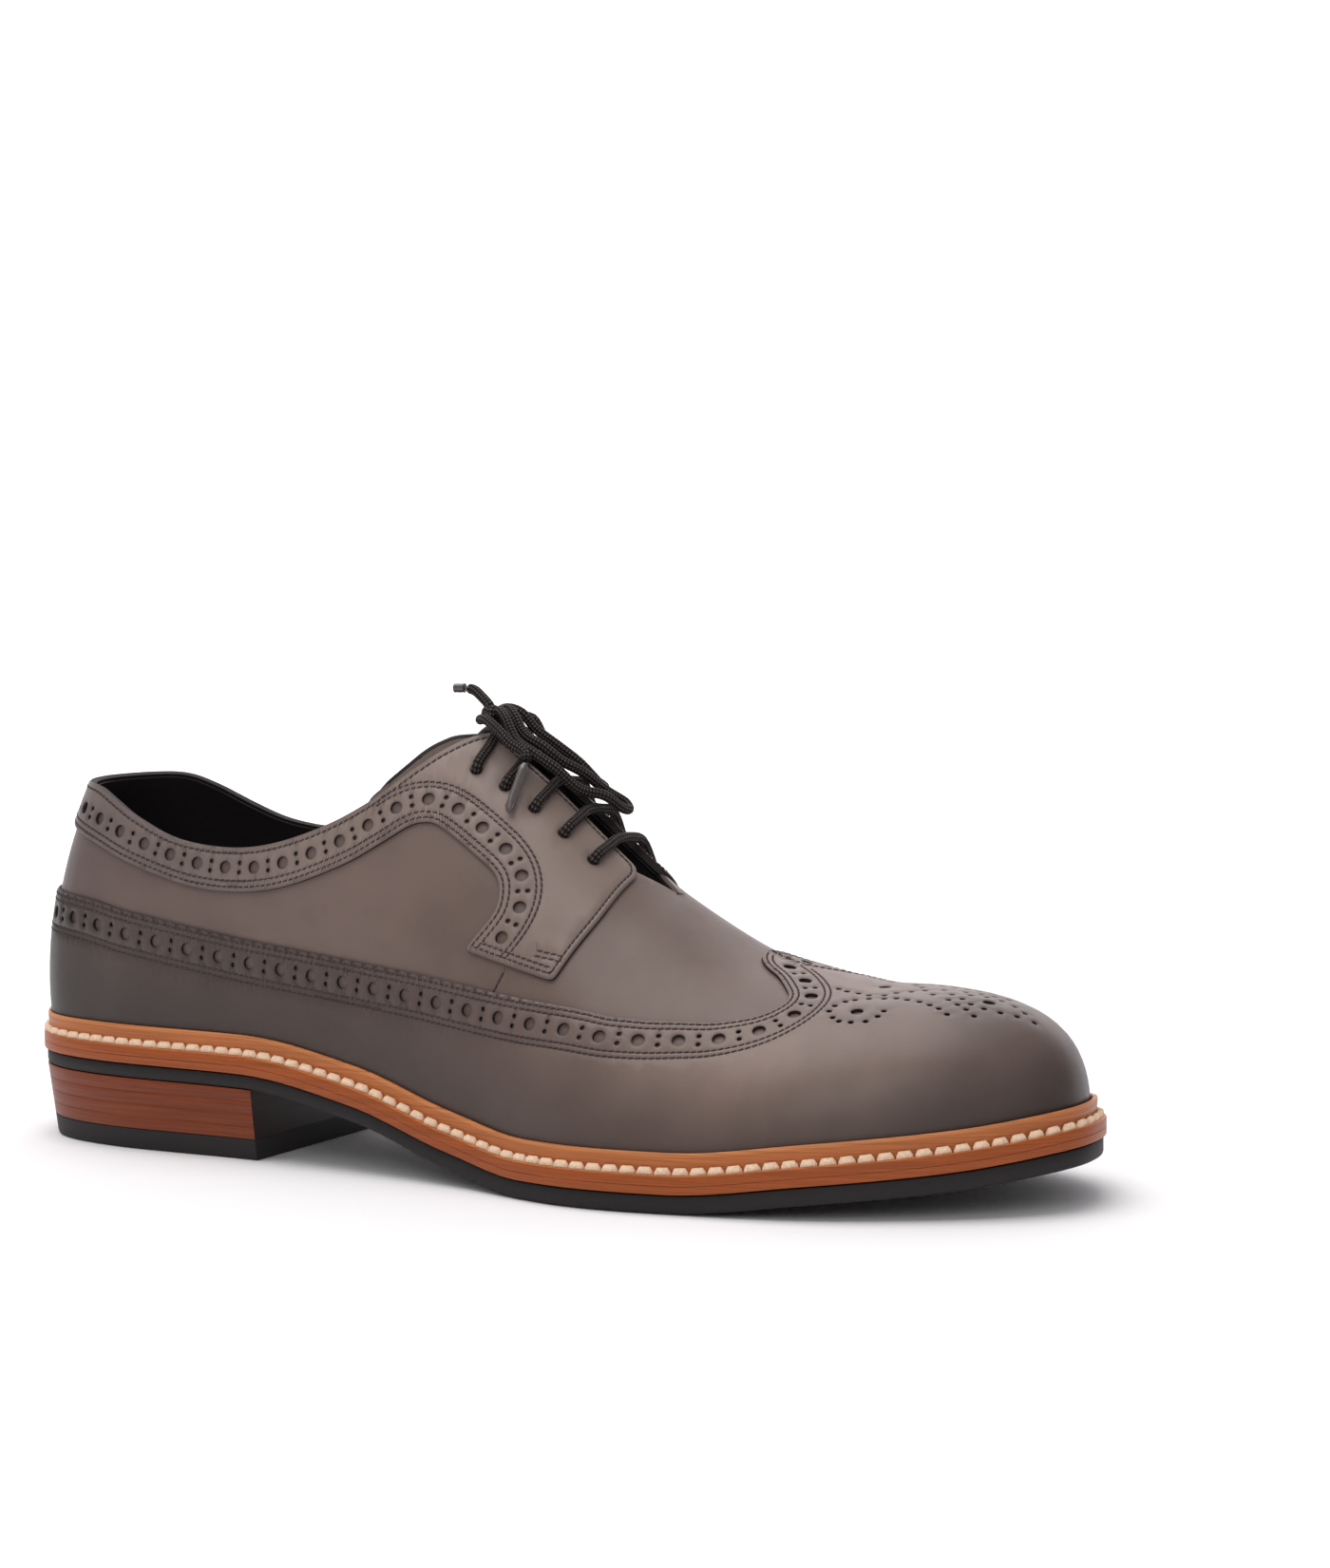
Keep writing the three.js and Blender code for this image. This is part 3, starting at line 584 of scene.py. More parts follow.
def make_room():
    world = bpy.data.worlds.new("room")
    world.use_nodes = True
    background = world.node_tree.nodes["Background"]
    background.inputs["Color"].default_value = (1.0, 0.99, 1.0, 1)
    background.inputs["Strength"].default_value = ROOM_LIGHT
    bpy.context.scene.world = world
    bpy.context.scene.view_settings.view_transform = "Standard"
    area_light("key", (-0.2, -0.1, 1.3), size=1.2, power=15.0)
    area_light("front", (0.5, -1.4, 0.9), size=0.9, power=5.0)
    paper_sweep()
    back = area_light("behind", (-0.45, 0.8, 1.9), size=1.6, power=20.0)
    back.rotation_euler = (math.radians(75), 0, CAMERA_AZIMUTH)
    bpy.ops.object.select_all(action="DESELECT")


make_room()
print("lights", len(bpy.data.lights))

# %% [markdown]
# ## Leather finishes
# The shoe is burnished: wax and heat darken the toe tip and the heel, and leave the rest paler. The
# low sides are darker too, which is painted shade toward the sole. The marks `seam` and `rise` kept
# on each panel say how near an edge or a hole is, and how far up the last the place lies.

# %% Leather
# The dark tone of the leather's ink, also used to paint shade onto it.
INK_AND_SHADE = tone(38, 31, 30)


def leather(name, rows, low=0.62, grain=0.03, low_shade_reach=0.3, wax=0.1, sheen=SHEEN):
    """Calf leather whose colour runs through rows of (x, colour) along the shoe."""
    look = Look(name, coat_weight=wax, coat_roughness=0.3)
    look.feed(look.shader.inputs["Specular IOR Level"], sheen)
    colour = rows[0][1]
    for (x, _), (next_x, next_colour) in zip(rows, rows[1:]):
        colour = look.mix((look.x + look.noise(30) * 16 - 8).between(x, next_x), colour, next_colour)
    cloud = look.noise(14, 5)
    colour = look.mix(cloud.between(0.35, 0.75) * 0.14, colour, INK_AND_SHADE)
    seam = look.mark("seam")
    rise = look.mark("rise")
    # Painted shade: the colour darkens toward the sole, where the low sides get less light.
    shade = (1 - rise.between(0.02, low_shade_reach)) * low
    colour = look.mix(shade, colour, INK_AND_SHADE)
    # Darker at borders, hole rims and seam troughs: partly the leather's darker edges, partly painted shade
    # in these dips.
    colour = look.mix(seam * 0.6, colour, INK_AND_SHADE)
    look.feed(look.shader.inputs["Base Color"], colour)
    look.feed(look.shader.inputs["Roughness"], look.noise(6, 4) * 0.16 + 0.36)
    look.bump(look.noise(0.9, 6) + look.noise(3.5, 2) * 1.4, grain)
    return look.material


def plain(name, colour, roughness=0.6, speck=0.0, size=1.0, depth=0.0, coat=0.0):
    """One colour with specks and a fine relief."""
    look = Look(name, roughness=roughness, coat_weight=coat)
    spots = look.noise(size, 4)
    look.feed(look.shader.inputs["Base Color"], look.mix(spots.between(0.35, 0.7) * speck, colour, INK_AND_SHADE))
    if depth:
        look.bump(spots, depth)
    return look.material


QUARTER = leather("quarter leather", [
    (0, tone(84, 72, 70)), (45, tone(107, 91, 86)), (110, tone(116, 99, 92)),
    (165, tone(104, 87, 80)), (230, tone(108, 90, 82)),
])
BAND = leather("band leather", [
    (0, tone(88, 77, 74)), (50, tone(120, 106, 100)), (120, tone(138, 121, 113)),
    (180, tone(126, 109, 101)),
], low=0)
WING = leather("wing leather", [
    (0, tone(32, 26, 24)), (40, tone(90, 77, 72)), (130, tone(104, 88, 82)), (185, tone(117, 99, 92)),
    (228, tone(129, 109, 100)), (262, tone(120, 102, 94)), (290, tone(96, 81, 76)),
    (310, tone(76, 63, 59)),
], low_shade_reach=0.42)
FOLDED = leather("folded edge", [(136, tone(46, 38, 37)), (148, tone(120, 105, 98))], low=0, wax=0)
EDGE = plain("cut edge", tone(46, 38, 37), 0.7, 0.3, 0.8, 0.02)
LINING = plain("black lining", tone(30, 26, 28), 0.55, 0.3, 2, 0.02)
# Grey leather at the tongue's top; from x 148 on, inside the throat's slot, it is painted near black as the
# shade in the slot.
TONGUE_GREY_AND_SLOT_SHADE = leather("tongue leather with painted slot shade", [
    (136, tone(112, 97, 91)), (148, tone(14, 12, 12)),
], low=0, wax=0, sheen=0)
THREAD = plain("dark thread", tone(66, 56, 54), 0.8, 0.3, 0.5)
WELT_THREAD = plain("pale thread", tone(240, 208, 178), 0.85, 0.2, 0.7, 0.02)
AGLET = plain("lace tip", tone(84, 78, 76), 0.2, 0.1, 1, 0, 0.8)


def tan_leather(name, colour):
    """Vegetable tanned leather with fine lines along its cut edge."""
    look = Look(name, roughness=0.45, coat_weight=0.08, coat_roughness=0.3)
    streak = look.noise(1.0, 5, (26, 26, 0.35))
    dark = tuple(value * 0.5 for value in colour)
    look.feed(look.shader.inputs["Base Color"], look.mix(streak.between(0.3, 0.75) * 0.7, colour, dark))
    look.bump(streak, 0.05)
    return look.material


LIP = tan_leather("welt leather", tone(190, 112, 60))
# The top of the lip is lighter: partly its raw cut edge, partly a painted highlight where it faces the
# light above.
LIP_TOP_RAW_AND_HIGHLIGHT = tan_leather("raw welt edge with painted highlight", tone(204, 128, 76))
SOLE_EDGE = tan_leather("midsole leather", tone(165, 82, 34))
STACKED = tan_leather("stacked leather", tone(128, 57, 24))
# The heel's front, painted near black as the shade under the arch.
BREAST_SHADE = tan_leather("heel breast in painted arch shade", tone(36, 18, 11))
SOCK = plain("insole leather", tone(60, 50, 48), 0.6, 0.2, 3, 0.02)
RUBBER = plain("black rubber", tone(40, 37, 38), 0.62, 0.2, 1.5, 0.03)
print("leathers and rubber", len(bpy.data.materials))

# %% [markdown]
# ## Braid
# A round lace is braided from two sets of strands that wind round it in opposite ways. Two sine
# waves over the cord's own UV map cross in the same way, and their product lifts the strands. The
# lifted strands are painted lighter and the hollows between them near black: a painted highlight
# and painted shade.

# %% Braid
STRANDS_ROUND = 4
STRANDS_ALONG = 1.5


def braid(name, colour):
    """Woven cord: two sets of strands cross round the tube, in its own UV map."""
    look = Look(name, roughness=0.72)
    map_parts = look.tree.nodes.new("ShaderNodeSeparateXYZ")
    look.feed(map_parts.inputs[0], look.node("ShaderNodeTexCoord", output="UV"))
    around = Wire(look, map_parts.outputs[0])
    along = Wire(look, map_parts.outputs[1])
    turn = 2 * math.pi
    first = (around * (STRANDS_ROUND * turn) + along * (STRANDS_ALONG * turn)).wave()
    second = (around * (STRANDS_ROUND * turn) - along * (STRANDS_ALONG * turn)).wave()
    weave = first * second
    high = weave.between(0.05, 0.75)
    # Painted highlight on the raised strands and painted shade in the hollows between them.
    look.feed(look.shader.inputs["Base Color"], look.mix(high, tone(20, 16, 15), colour))
    look.bump(weave, 0.35)
    return look.material


LACE_BRAID = braid("lace braid", tone(92, 81, 76))
print("materials", len(bpy.data.materials))

# %% [markdown]
# ## Lace cord
# A round braided lace is a tube along its route. Each tube gets a UV map, with one direction round
# the cord and one along it, so that the braid of the material can follow every bend.

# %% Tubes
def smooth_route(points, steps):
    """A smooth line through points, each stretch cut into so many steps."""
    p = np.asarray(points, float)
    p = np.vstack([2 * p[0] - p[1], p, 2 * p[-1] - p[-2]])
    u = np.arange(steps)[:, None] / steps
    parts = []
    for a, b, c, d in zip(p, p[1:], p[2:], p[3:]):
        parts.append(hermite(b, c, (c - a) / 2, (d - b) / 2, u))
    return np.vstack([*parts, p[-2][None]])


def new_piece(name, points, faces, materials=(), marks=None):
    """A mesh object at the origin from points in metres, riding on the shoe's one body."""
    mesh = bpy.data.meshes.new(name)
    mesh.from_pydata([tuple(p) for p in points], [], [tuple(f) for f in faces])
    for material in materials:
        mesh.materials.append(material)
    if marks is not None:
        mesh.polygons.foreach_set("material_index", np.asarray(marks, dtype=np.int32))
    mesh.update()
    piece = bpy.data.objects.new(name, mesh)
    bpy.context.collection.objects.link(piece)
    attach(piece, "root")
    return piece


def smooth(piece, degrees=50):
    bpy.ops.object.select_all(action="DESELECT")
    piece.select_set(True)
    bpy.context.view_layer.objects.active = piece
    bpy.ops.object.shade_smooth_by_angle(angle=math.radians(degrees))
    piece.select_set(False)


def tube(name, route, diameter, material, sides=16, ends=0.35):
    """A closed tube along a route in millimetres, with rounded ends and a UV map along it."""
    route = np.asarray(route, float)
    run = np.gradient(route, axis=0)
    run /= np.linalg.norm(run, axis=1, keepdims=True)
    across = np.zeros_like(route)
    guess = np.array([0.0, 0.0, 1.0]) if abs(run[0, 2]) < 0.9 else np.array([1.0, 0.0, 0.0])
    for k, ahead in enumerate(run):
        guess = guess - ahead * (guess @ ahead)
        guess /= np.linalg.norm(guess)
        across[k] = guess
    beside = np.cross(run, across)
    angle = np.arange(sides) * 2 * math.pi / sides
    radius = np.full(len(route), diameter / 2)
    reach = np.concatenate([[0], np.cumsum(np.linalg.norm(np.diff(route, axis=0), axis=1))])
    for gap in (reach, reach[-1] - reach):
        near = np.clip(gap / (ends * diameter), 0, 1)
        radius = np.minimum(radius, diameter / 2 * (0.55 + 0.45 * np.sqrt(1 - (1 - near) ** 2)))
    rings = (
        route[:, None]
        + radius[:, None, None] * np.cos(angle)[None, :, None] * across[:, None]
        + radius[:, None, None] * np.sin(angle)[None, :, None] * beside[:, None]
    )
    points = np.vstack([rings.reshape(-1, 3), route[:1], route[-1:]])
    faces, uvs = [], []
    count = len(route)
    for k in range(count - 1):
        for j in range(sides):
            n = (j + 1) % sides
            faces.append((k * sides + j, k * sides + n, (k + 1) * sides + n, (k + 1) * sides + j))
            low, high = reach[k] / diameter, reach[k + 1] / diameter
            uvs += [(j / sides, low), ((j + 1) / sides, low), ((j + 1) / sides, high), (j / sides, high)]
    first, last = count * sides, count * sides + 1
    for j in range(sides):
        n = (j + 1) % sides
        faces.append((first, n, j))
        faces.append((last, (count - 1) * sides + j, (count - 1) * sides + n))
        uvs += [(0, 0)] * 6
    piece = new_piece(name, metres(points), faces, [material])
    layer = piece.data.uv_layers.new(name="along")
    layer.data.foreach_set("uv", np.array(uvs, dtype=np.float32).ravel())
    smooth(piece)
    return piece


print("cord", LACE, "thick")

# %% [markdown]
# ## The bow
# The lace is tied over the top eyelets. Its routes are points in millimetres along each loop and
# each end, with a smooth line through them. A knot of two turns hides where they cross.

# %% Lace ends, loops and knot
KNOT_AT = (138.2, 1.6, 115.9)
LOOP_NEAR = [
    (141.7, -0.2, 117.3), (145.0, -2.6, 115.4), (149.1, -4.4, 110.3), (155.1, -5.6, 107.2),
    (160.7, -3.8, 103.3), (164.8, 0.2, 98.1), (169.7, 5.2, 95.9), (171.5, 10.4, 92.5),
    (171.7, 14.0, 91.6), (169.8, 15.2, 93.3), (166.0, 11.9, 96.6), (162.6, 6.7, 101.4),
    (158.7, 2.4, 104.7), (154.4, 0.3, 108.5), (148.7, 0.4, 111.5), (145.0, 1.8, 115.9),
    (141.5, 3.7, 117.6),
]
LOOP_FAR = [
    (139.5, 7.5, 114.5), (144.2, 11.7, 114.7), (147.2, 14.9, 107.0), (153.4, 16.9, 103.8),
    (158.0, 17.6, 99.5), (162.5, 16.9, 97.1), (163.5, 13.7, 97.7), (158.9, 11.1, 103.5),
    (153.2, 9.5, 108.0), (147.6, 8.2, 112.1), (143.7, 7.3, 116.4), (139.4, 6.4, 117.6),
]
END_BACK = [(137.0, 2.0, 118.5), (134.3, 2.9, 120.6), (131.6, 3.8, 122.2), (129.3, 4.0, 122.8)]
TIP_BACK = [(128.6, 4.0, 122.8), (125.0, 4.0, 122.7)]
END_FRONT = [
    (137.3, -2.9, 115.3), (141.1, -6.0, 115.5), (146.5, -8.0, 112.6), (149.8, -8.5, 109.9),
    (153.6, -8.4, 107.8), (154.8, -9.3, 105.9),
]
TIP_FRONT = [(154.9, -9.8, 105.0), (154.2, -17.4, 93.4)]
TIP_DIAMETER = 2.5


def make_tips():
    """The short stiff tips on the two ends of the lace."""
    tips = []
    for name, points in (("tip_back", TIP_BACK), ("tip_front", TIP_FRONT)):
        tip = tube("bow_" + name, smooth_route(points, 12), TIP_DIAMETER, AGLET, ends=0.12)
        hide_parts("lace_" + name)
        tips.append(tip)
    return tips


def make_bow():
    """The two loops, the two ends with their tips, and the knot that holds them."""
    for name, points in (("loop_near", LOOP_NEAR), ("loop_far", LOOP_FAR)):
        route = smooth_route([KNOT_AT, *points, KNOT_AT], 6)
        piece = tube("bow_" + name, route, LACE, LACE_BRAID)
        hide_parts("lace_" + name)
    ends_route = smooth_route([*END_BACK[::-1], KNOT_AT, *END_FRONT], 6)
    ends = tube("bow_ends", ends_route, LACE, LACE_BRAID)
    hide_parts("lace_end_back", "lace_end_front")
    tips = make_tips()
    knot = make_knot()


KNOT_TURNS = 2.2
KNOT_LENGTH = 3.0
KNOT_WIDTH, KNOT_HEIGHT = 2.0, 1.7
KNOT_TUCK = 0.12  # share of the strand that is tucked in at each end


def make_knot():
    """The knot: a strand wound twice round the crossing laces."""
    turns = np.linspace(0, 1, 60)
    angle = turns * 2 * math.pi * KNOT_TURNS
    tucked = np.sin(np.clip(np.minimum(turns, 1 - turns) / KNOT_TUCK, 0, 1) * math.pi / 2)
    route = np.stack([
        KNOT_AT[0] + (turns - 0.5) * KNOT_LENGTH,
        KNOT_AT[1] + KNOT_WIDTH * tucked * np.cos(angle),
        KNOT_AT[2] + KNOT_HEIGHT * tucked * np.sin(angle),
    ], -1)
    knot = tube("bow_knot", route, LACE * 0.95, LACE_BRAID)
    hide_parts("lace_knot")
    return knot


make_bow()
print("bow made")

# %% [markdown]
# ## Pattern pieces
# A pattern piece is a closed line on the last. Lines that run round the shoe are found section by
# section, and lines that cross it are found point by point, on the side that they lie on.

# %% Find places on the last
def spline(points, steps=14):
    p = np.asarray(points, float)
    p = np.vstack([p[0], p, p[-1]])
    u = np.arange(steps)[:, None] / steps
    parts = [hermite(b, c, (c - a) / 2, (d - b) / 2, u) for a, b, c, d in zip(p, p[1:], p[2:], p[3:])]
    return np.vstack([*parts, p[-1][None]])


def side_line(table):
    """A side-view line in millimetres."""
    return spline(table) * (LENGTH, BACK_HEIGHT)


def other_side(places):
    """The same places on the inner side of the shoe."""
    return np.stack([LOOP - places[:, 0], places[:, 1]], -1)


def meet_line(s, line):
    """How high each section of the last reaches a side-view line."""
    low, high = np.zeros_like(s), np.ones_like(s)
    for _ in range(26):
        middle = (low + high) / 2
        point = wall(s, middle)
        below = point[:, 2] < np.interp(point[:, 0], line[:, 0], line[:, 1])
        low, high = np.where(below, middle, low), np.where(below, high, middle)
    return np.stack([s, low], -1)


SEARCH_S = np.linspace(0, LOOP, 441)[:-1]
SEARCH_T = np.linspace(0.02, 0.99, 70)
SEARCH_GRID = np.stack(np.meshgrid(SEARCH_S, SEARCH_T, indexing="ij"), -1).reshape(-1, 2)
SEARCH_POINTS = wall(SEARCH_GRID[:, 0], SEARCH_GRID[:, 1])


def find_places(targets, axes, inner=False, lowest=0.0):
    """Places whose two coordinates are the targets: axes 0 and 2 from the side, 0 and 1 in plan."""
    targets = np.asarray(targets, float)
    if axes == (0, 2):
        on_side = (SEARCH_GRID[:, 0] > LOOP / 2) == inner
    else:
        on_side = SEARCH_GRID[:, 1] > lowest
    grid, points = SEARCH_GRID[on_side], SEARCH_POINTS[on_side][:, axes]
    nearest = [np.argmin(((points - target) ** 2).sum(1)) for target in targets]
    places = grid[nearest].copy()
    for _ in range(14):
        at, along_s, along_t, _ = wall_frame(places[:, 0], places[:, 1])
        miss = targets - at[:, axes]
        a, c = along_s[:, axes[0]], along_s[:, axes[1]]
        b, d = along_t[:, axes[0]], along_t[:, axes[1]]
        det = a * d - b * c
        det = np.where(np.abs(det) < 1e-6, 1e-6, det)
        step_s = np.clip((d * miss[:, 0] - b * miss[:, 1]) / det, -0.2, 0.2)
        step_t = np.clip((a * miss[:, 1] - c * miss[:, 0]) / det, -0.05, 0.05)
        places += np.stack([step_s, step_t], -1)
        places[:, 1] = np.clip(places[:, 1], 0.0, 0.999)
    return places


RIDGE_JUMP = 2.0


def over_ridge(first, second):
    """Whether two neighbours of a line lie on two sides of the ridge, far apart in s."""
    away = np.abs(first[..., 0] - second[..., 0])
    return np.minimum(away, np.abs(away - LOOP)) > RIDGE_JUMP


def resample(places, step, closed=False):
    """Even steps along a line of places, measured on the skin."""
    if closed:
        places = np.vstack([places, places[:1]])
    s, t = places[:, 0].copy(), places[:, 1]
    turns = np.round(np.diff(s) / LOOP)
    s[1:] -= np.cumsum(turns) * LOOP
    points = wall(s, t)
    reach = np.concatenate([[0], np.cumsum(np.linalg.norm(np.diff(points, axis=0), axis=1))])
    count = max(2, int(round(reach[-1] / step)))
    marks = np.linspace(0, reach[-1], count + 1)
    if closed:
        marks = marks[:-1]
    even = np.stack([np.interp(marks, reach, s), np.interp(marks, reach, t)], -1)
    before = np.clip(np.searchsorted(reach, marks, side="right") - 1, 0, len(s) - 2)
    jump = over_ridge(places[before], places[before + 1])
    nearer = before + (marks - reach[before] > reach[before + 1] - marks)
    even[jump] = np.stack([s, t], -1)[nearer[jump]]
    return even


def soften(places, rounds, closed=True):
    """Rounds the corners of an evenly stepped line, but not where it passes over the ridge."""
    places = places.copy()
    for _ in range(rounds):
        before, after = np.roll(places, 1, axis=0), np.roll(places, -1, axis=0)
        fixed = over_ridge(before, places) | over_ridge(places, after)
        if not closed:
            fixed[[0, -1]] = True
        back = LOOP * np.round((places[:, 0] - before[:, 0]) / LOOP)
        ahead = LOOP * np.round((places[:, 0] - after[:, 0]) / LOOP)
        mean = (before + after) / 4 + places / 2
        mean[:, 0] += (back + ahead) / 4
        places = np.where(fixed[:, None], places, mean)
    return places


def step_across(places, distance, closed=False):
    """A line of places moved sideways over the skin, to the left of its run as seen from outside."""
    places = places.copy()
    steps = max(1, int(math.ceil(abs(distance) / 1.0)))
    for _ in range(steps):
        at, along_s, along_t, out = wall_frame(places[:, 0], places[:, 1])
        if closed:
            run = np.roll(at, -1, axis=0) - np.roll(at, 1, axis=0)
        else:
            run = np.gradient(at, axis=0)
        run /= np.maximum(np.linalg.norm(run, axis=1, keepdims=True), 1e-9)
        move = np.cross(out, run) * (distance / steps)
        places = shifted(places, along_s, along_t, move)
        if len(places) > 12:
            places = soften(places, 1, closed)
    return places


def shifted(places, along_s, along_t, move):
    """Places after a small move over the skin."""
    ss = (along_s * along_s).sum(-1)
    st = (along_s * along_t).sum(-1)
    tt = (along_t * along_t).sum(-1)
    ms, mt = (along_s * move).sum(-1), (along_t * move).sum(-1)
    det = np.maximum(ss * tt - st * st, 1e-6)
    step_s = (tt * ms - st * mt) / det
    step_t = (ss * mt - st * ms) / det
    return np.stack([places[:, 0] + step_s, np.clip(places[:, 1] + step_t, 0, 0.999)], -1)


print("search grid", len(SEARCH_GRID))

# %% [markdown]
# ## Cutting lines
# Here the lines of the style are laid on the skin: the collar from the heel up to the throat, the
# throat between the facings, the band's lower edge with the facing's foot, and the wing. The outer
# half is found first, and the inner half mirrors it in the skin's own numbers, so it keeps to the
# last's other shape on that side.

# %% Lines of the pattern
FAN_X, FAN_Y = LAST_OF["fan_x"], LAST_OF["fan_y"]
RIDGE_ROWS = [k for k in range(ROWS) if k == 0 or FAN_X[k] > FAN_X[k - 1]]
RIDGE = np.stack([FAN_X[RIDGE_ROWS], FAN_Y[RIDGE_ROWS]], -1)
COLLAR_FRONT = 0.42 * LENGTH


def ridge_y(x):
    return look_up(RIDGE, 1, np.asarray(x) / LENGTH) * BALL_WIDTH


def collar_half():
    """The outer side of the collar, from the back of the heel to the throat."""
    s = np.linspace(0.0, 5.4, 260)
    places = meet_line(s, side_line(COLLAR_LINE))
    points = wall(places[:, 0], places[:, 1])
    before = (points[:, 1] < ridge_y(points[:, 0]) - THROAT_GAP / 2) | (points[:, 0] < COLLAR_FRONT)
    stop = np.argmin(before) if not before.all() else len(s)
    return places[:stop]


def throat_half(first_x, last_x, inner=False):
    """The edge of the throat, seen from above, on one side."""
    x = np.linspace(first_x, last_x, 40)
    side = 1 if inner else -1
    return find_places(np.stack([x, ridge_y(x) + side * THROAT_GAP / 2], -1), (0, 1), lowest=0.4)


def band_half():
    """The lower edge of the collar band on the outer side: round the heel, up, and down its tail."""
    heel_part = meet_line(np.linspace(0.0, 2.4, 60), side_line(BAND_EDGE[:BAND_PEAK]))
    line = side_line(BAND_EDGE)
    start = wall(heel_part[-1:, 0], heel_part[-1:, 1])[0, 0]
    index = np.argmax(line[:, 0] > start + 1)
    return np.vstack([heel_part, find_places(line[index:], (0, 2))])


def facing_half():
    """The foot and the front of the facing on the outer side, up to the throat."""
    foot = np.linspace(BAND_EDGE[-1], FACING_EDGE[0], 12)[1:-1] * (LENGTH, BACK_HEIGHT)
    front = side_line(FACING_EDGE)
    places = find_places(np.vstack([foot, front]), (0, 2))
    points = wall(places[:, 0], places[:, 1])
    keep = points[:, 1] < ridge_y(points[:, 0]) - THROAT_GAP / 2 - 1.5
    return places[keep]


def wing_half():
    """The upper edge of the wing on the outer side, from the heel to its tip on the vamp."""
    line = side_line(WING_EDGE)
    back = meet_line(np.linspace(0.0, 6.0, 240), line)
    points = wall(back[:, 0], back[:, 1])
    return back[points[:, 0] < WING_FRONT[0, 0] * LENGTH - 4]


def wing_front(inner):
    column = 2 if inner else 1
    line = spline(WING_FRONT[:, [0, column]]) * (LENGTH, BALL_WIDTH)
    return find_places(line[2:-1], (0, 1), lowest=0.15)


collar_outer = collar_half()
collar_end = wall(collar_outer[-1:, 0], collar_outer[-1:, 1])[0]
print("collar meets the throat at", np.round(collar_end, 1).tolist())
throat_start_x = collar_end[0] + 2.5
collar_inner = other_side(collar_outer)
inner_points = wall(collar_inner[:, 0], collar_inner[:, 1])
clear = inner_points[:, 1] > ridge_y(inner_points[:, 0]) + THROAT_GAP / 2
clear |= inner_points[:, 0] < COLLAR_FRONT
collar_inner = collar_inner[:np.argmin(clear)] if not clear.all() else collar_inner
facing_outer = facing_half()
facing_inner = other_side(facing_outer)
facing_top_x = wall(facing_outer[-1:, 0], facing_outer[-1:, 1])[0, 0] - 2.0
slot_front = find_places([[THROAT_END, ridge_y(THROAT_END)]], (0, 1), lowest=0.4)

# The opening of the bare upper: collar, throat and slot, once round
OPENING = soften(resample(np.vstack([
    collar_outer,
    throat_half(throat_start_x, THROAT_CORNER - 1),
    slot_front,
    other_side(slot_front),
    throat_half(throat_start_x, THROAT_CORNER - 1, inner=True)[::-1],
    collar_inner[::-1],
]), 1.2, closed=True), 3)

# The edge of the collar band and facings, once round: out along the lower edge, back by the collar
band_outer = band_half()
BAND_LOOP = soften(resample(np.vstack([
    other_side(band_outer)[::-1],
    band_outer,
    facing_outer,
    throat_half(throat_start_x, facing_top_x)[::-1],
    collar_outer[::-1],
    collar_inner,
    throat_half(throat_start_x, facing_top_x, inner=True),
    facing_inner[::-1],
]), 1.0, closed=True), 3)

wing_outer = np.vstack([wing_half(), wing_front(False)])
wing_inner = np.vstack([other_side(wing_half()), wing_front(True)])
WING_LINE = soften(resample(np.vstack([wing_outer, wing_inner[::-1]]), 1.2, closed=True), 2)
FOOT_LINE = resample(np.stack([np.linspace(0, LOOP, 701)[:-1], np.zeros(700)], -1), 1.6, closed=True)
print("lines", len(OPENING), len(BAND_LOOP), len(WING_LINE), len(FOOT_LINE))

# %% [markdown]
# ## Leather panels
# A panel is cut from the flat pattern with its punched holes, and laid on the last. Its edge is
# turned down a little, its holes have soft rims, and its seams lie in shallow troughs. It is
# triangulated by a constrained Delaunay net, because a hole or a seam can then go anywhere on the
# curved skin, which no subdivided primitive gives.

# %% Skin net
NET = 2.3


def skin_net():
    """Places spread evenly over the whole last."""
    s_marks = []
    for k in range(LOOP):
        ends = wall(np.array([k, k + 1.0]), np.array([0.35, 0.35]))
        count = max(2, int(np.linalg.norm(ends[1] - ends[0]) / NET))
        s_marks += list(k + np.arange(count) / count)
    t_marks = np.linspace(0.0, 0.995, 46)[1:]
    grid = np.stack(np.meshgrid(s_marks, t_marks, indexing="ij"), -1).reshape(-1, 2)
    points = wall(grid[:, 0], grid[:, 1])
    cell = 0.72 * NET
    taken, kept = {}, []
    keys = np.floor(points / cell).astype(int)
    near = [(a, b, c) for a in (-1, 0, 1) for b in (-1, 0, 1) for c in (-1, 0, 1)]
    for index, key in enumerate(map(tuple, keys)):
        close = False
        for a, b, c in near:
            other = taken.get((key[0] + a, key[1] + b, key[2] + c))
            if other is not None and np.abs(points[other] - points[index]).max() < cell:
                close = True
                break
        if not close:
            taken[key] = index
            kept.append(index)
    return grid[kept]


SKIN_NET = skin_net()
print("net", len(SKIN_NET))


def inside(polygon, points):
    """Which flat points lie inside a flat closed line."""
    found = np.zeros(len(points), bool)
    x, y = points[:, 0], points[:, 1]
    for (xa, ya), (xb, yb) in zip(polygon, np.roll(polygon, -1, axis=0)):
        if ya == yb:
            continue
        crosses = ((ya > y) != (yb > y)) & (x < (xb - xa) * (y - ya) / (yb - ya) + xa)
        found ^= crosses
    return found


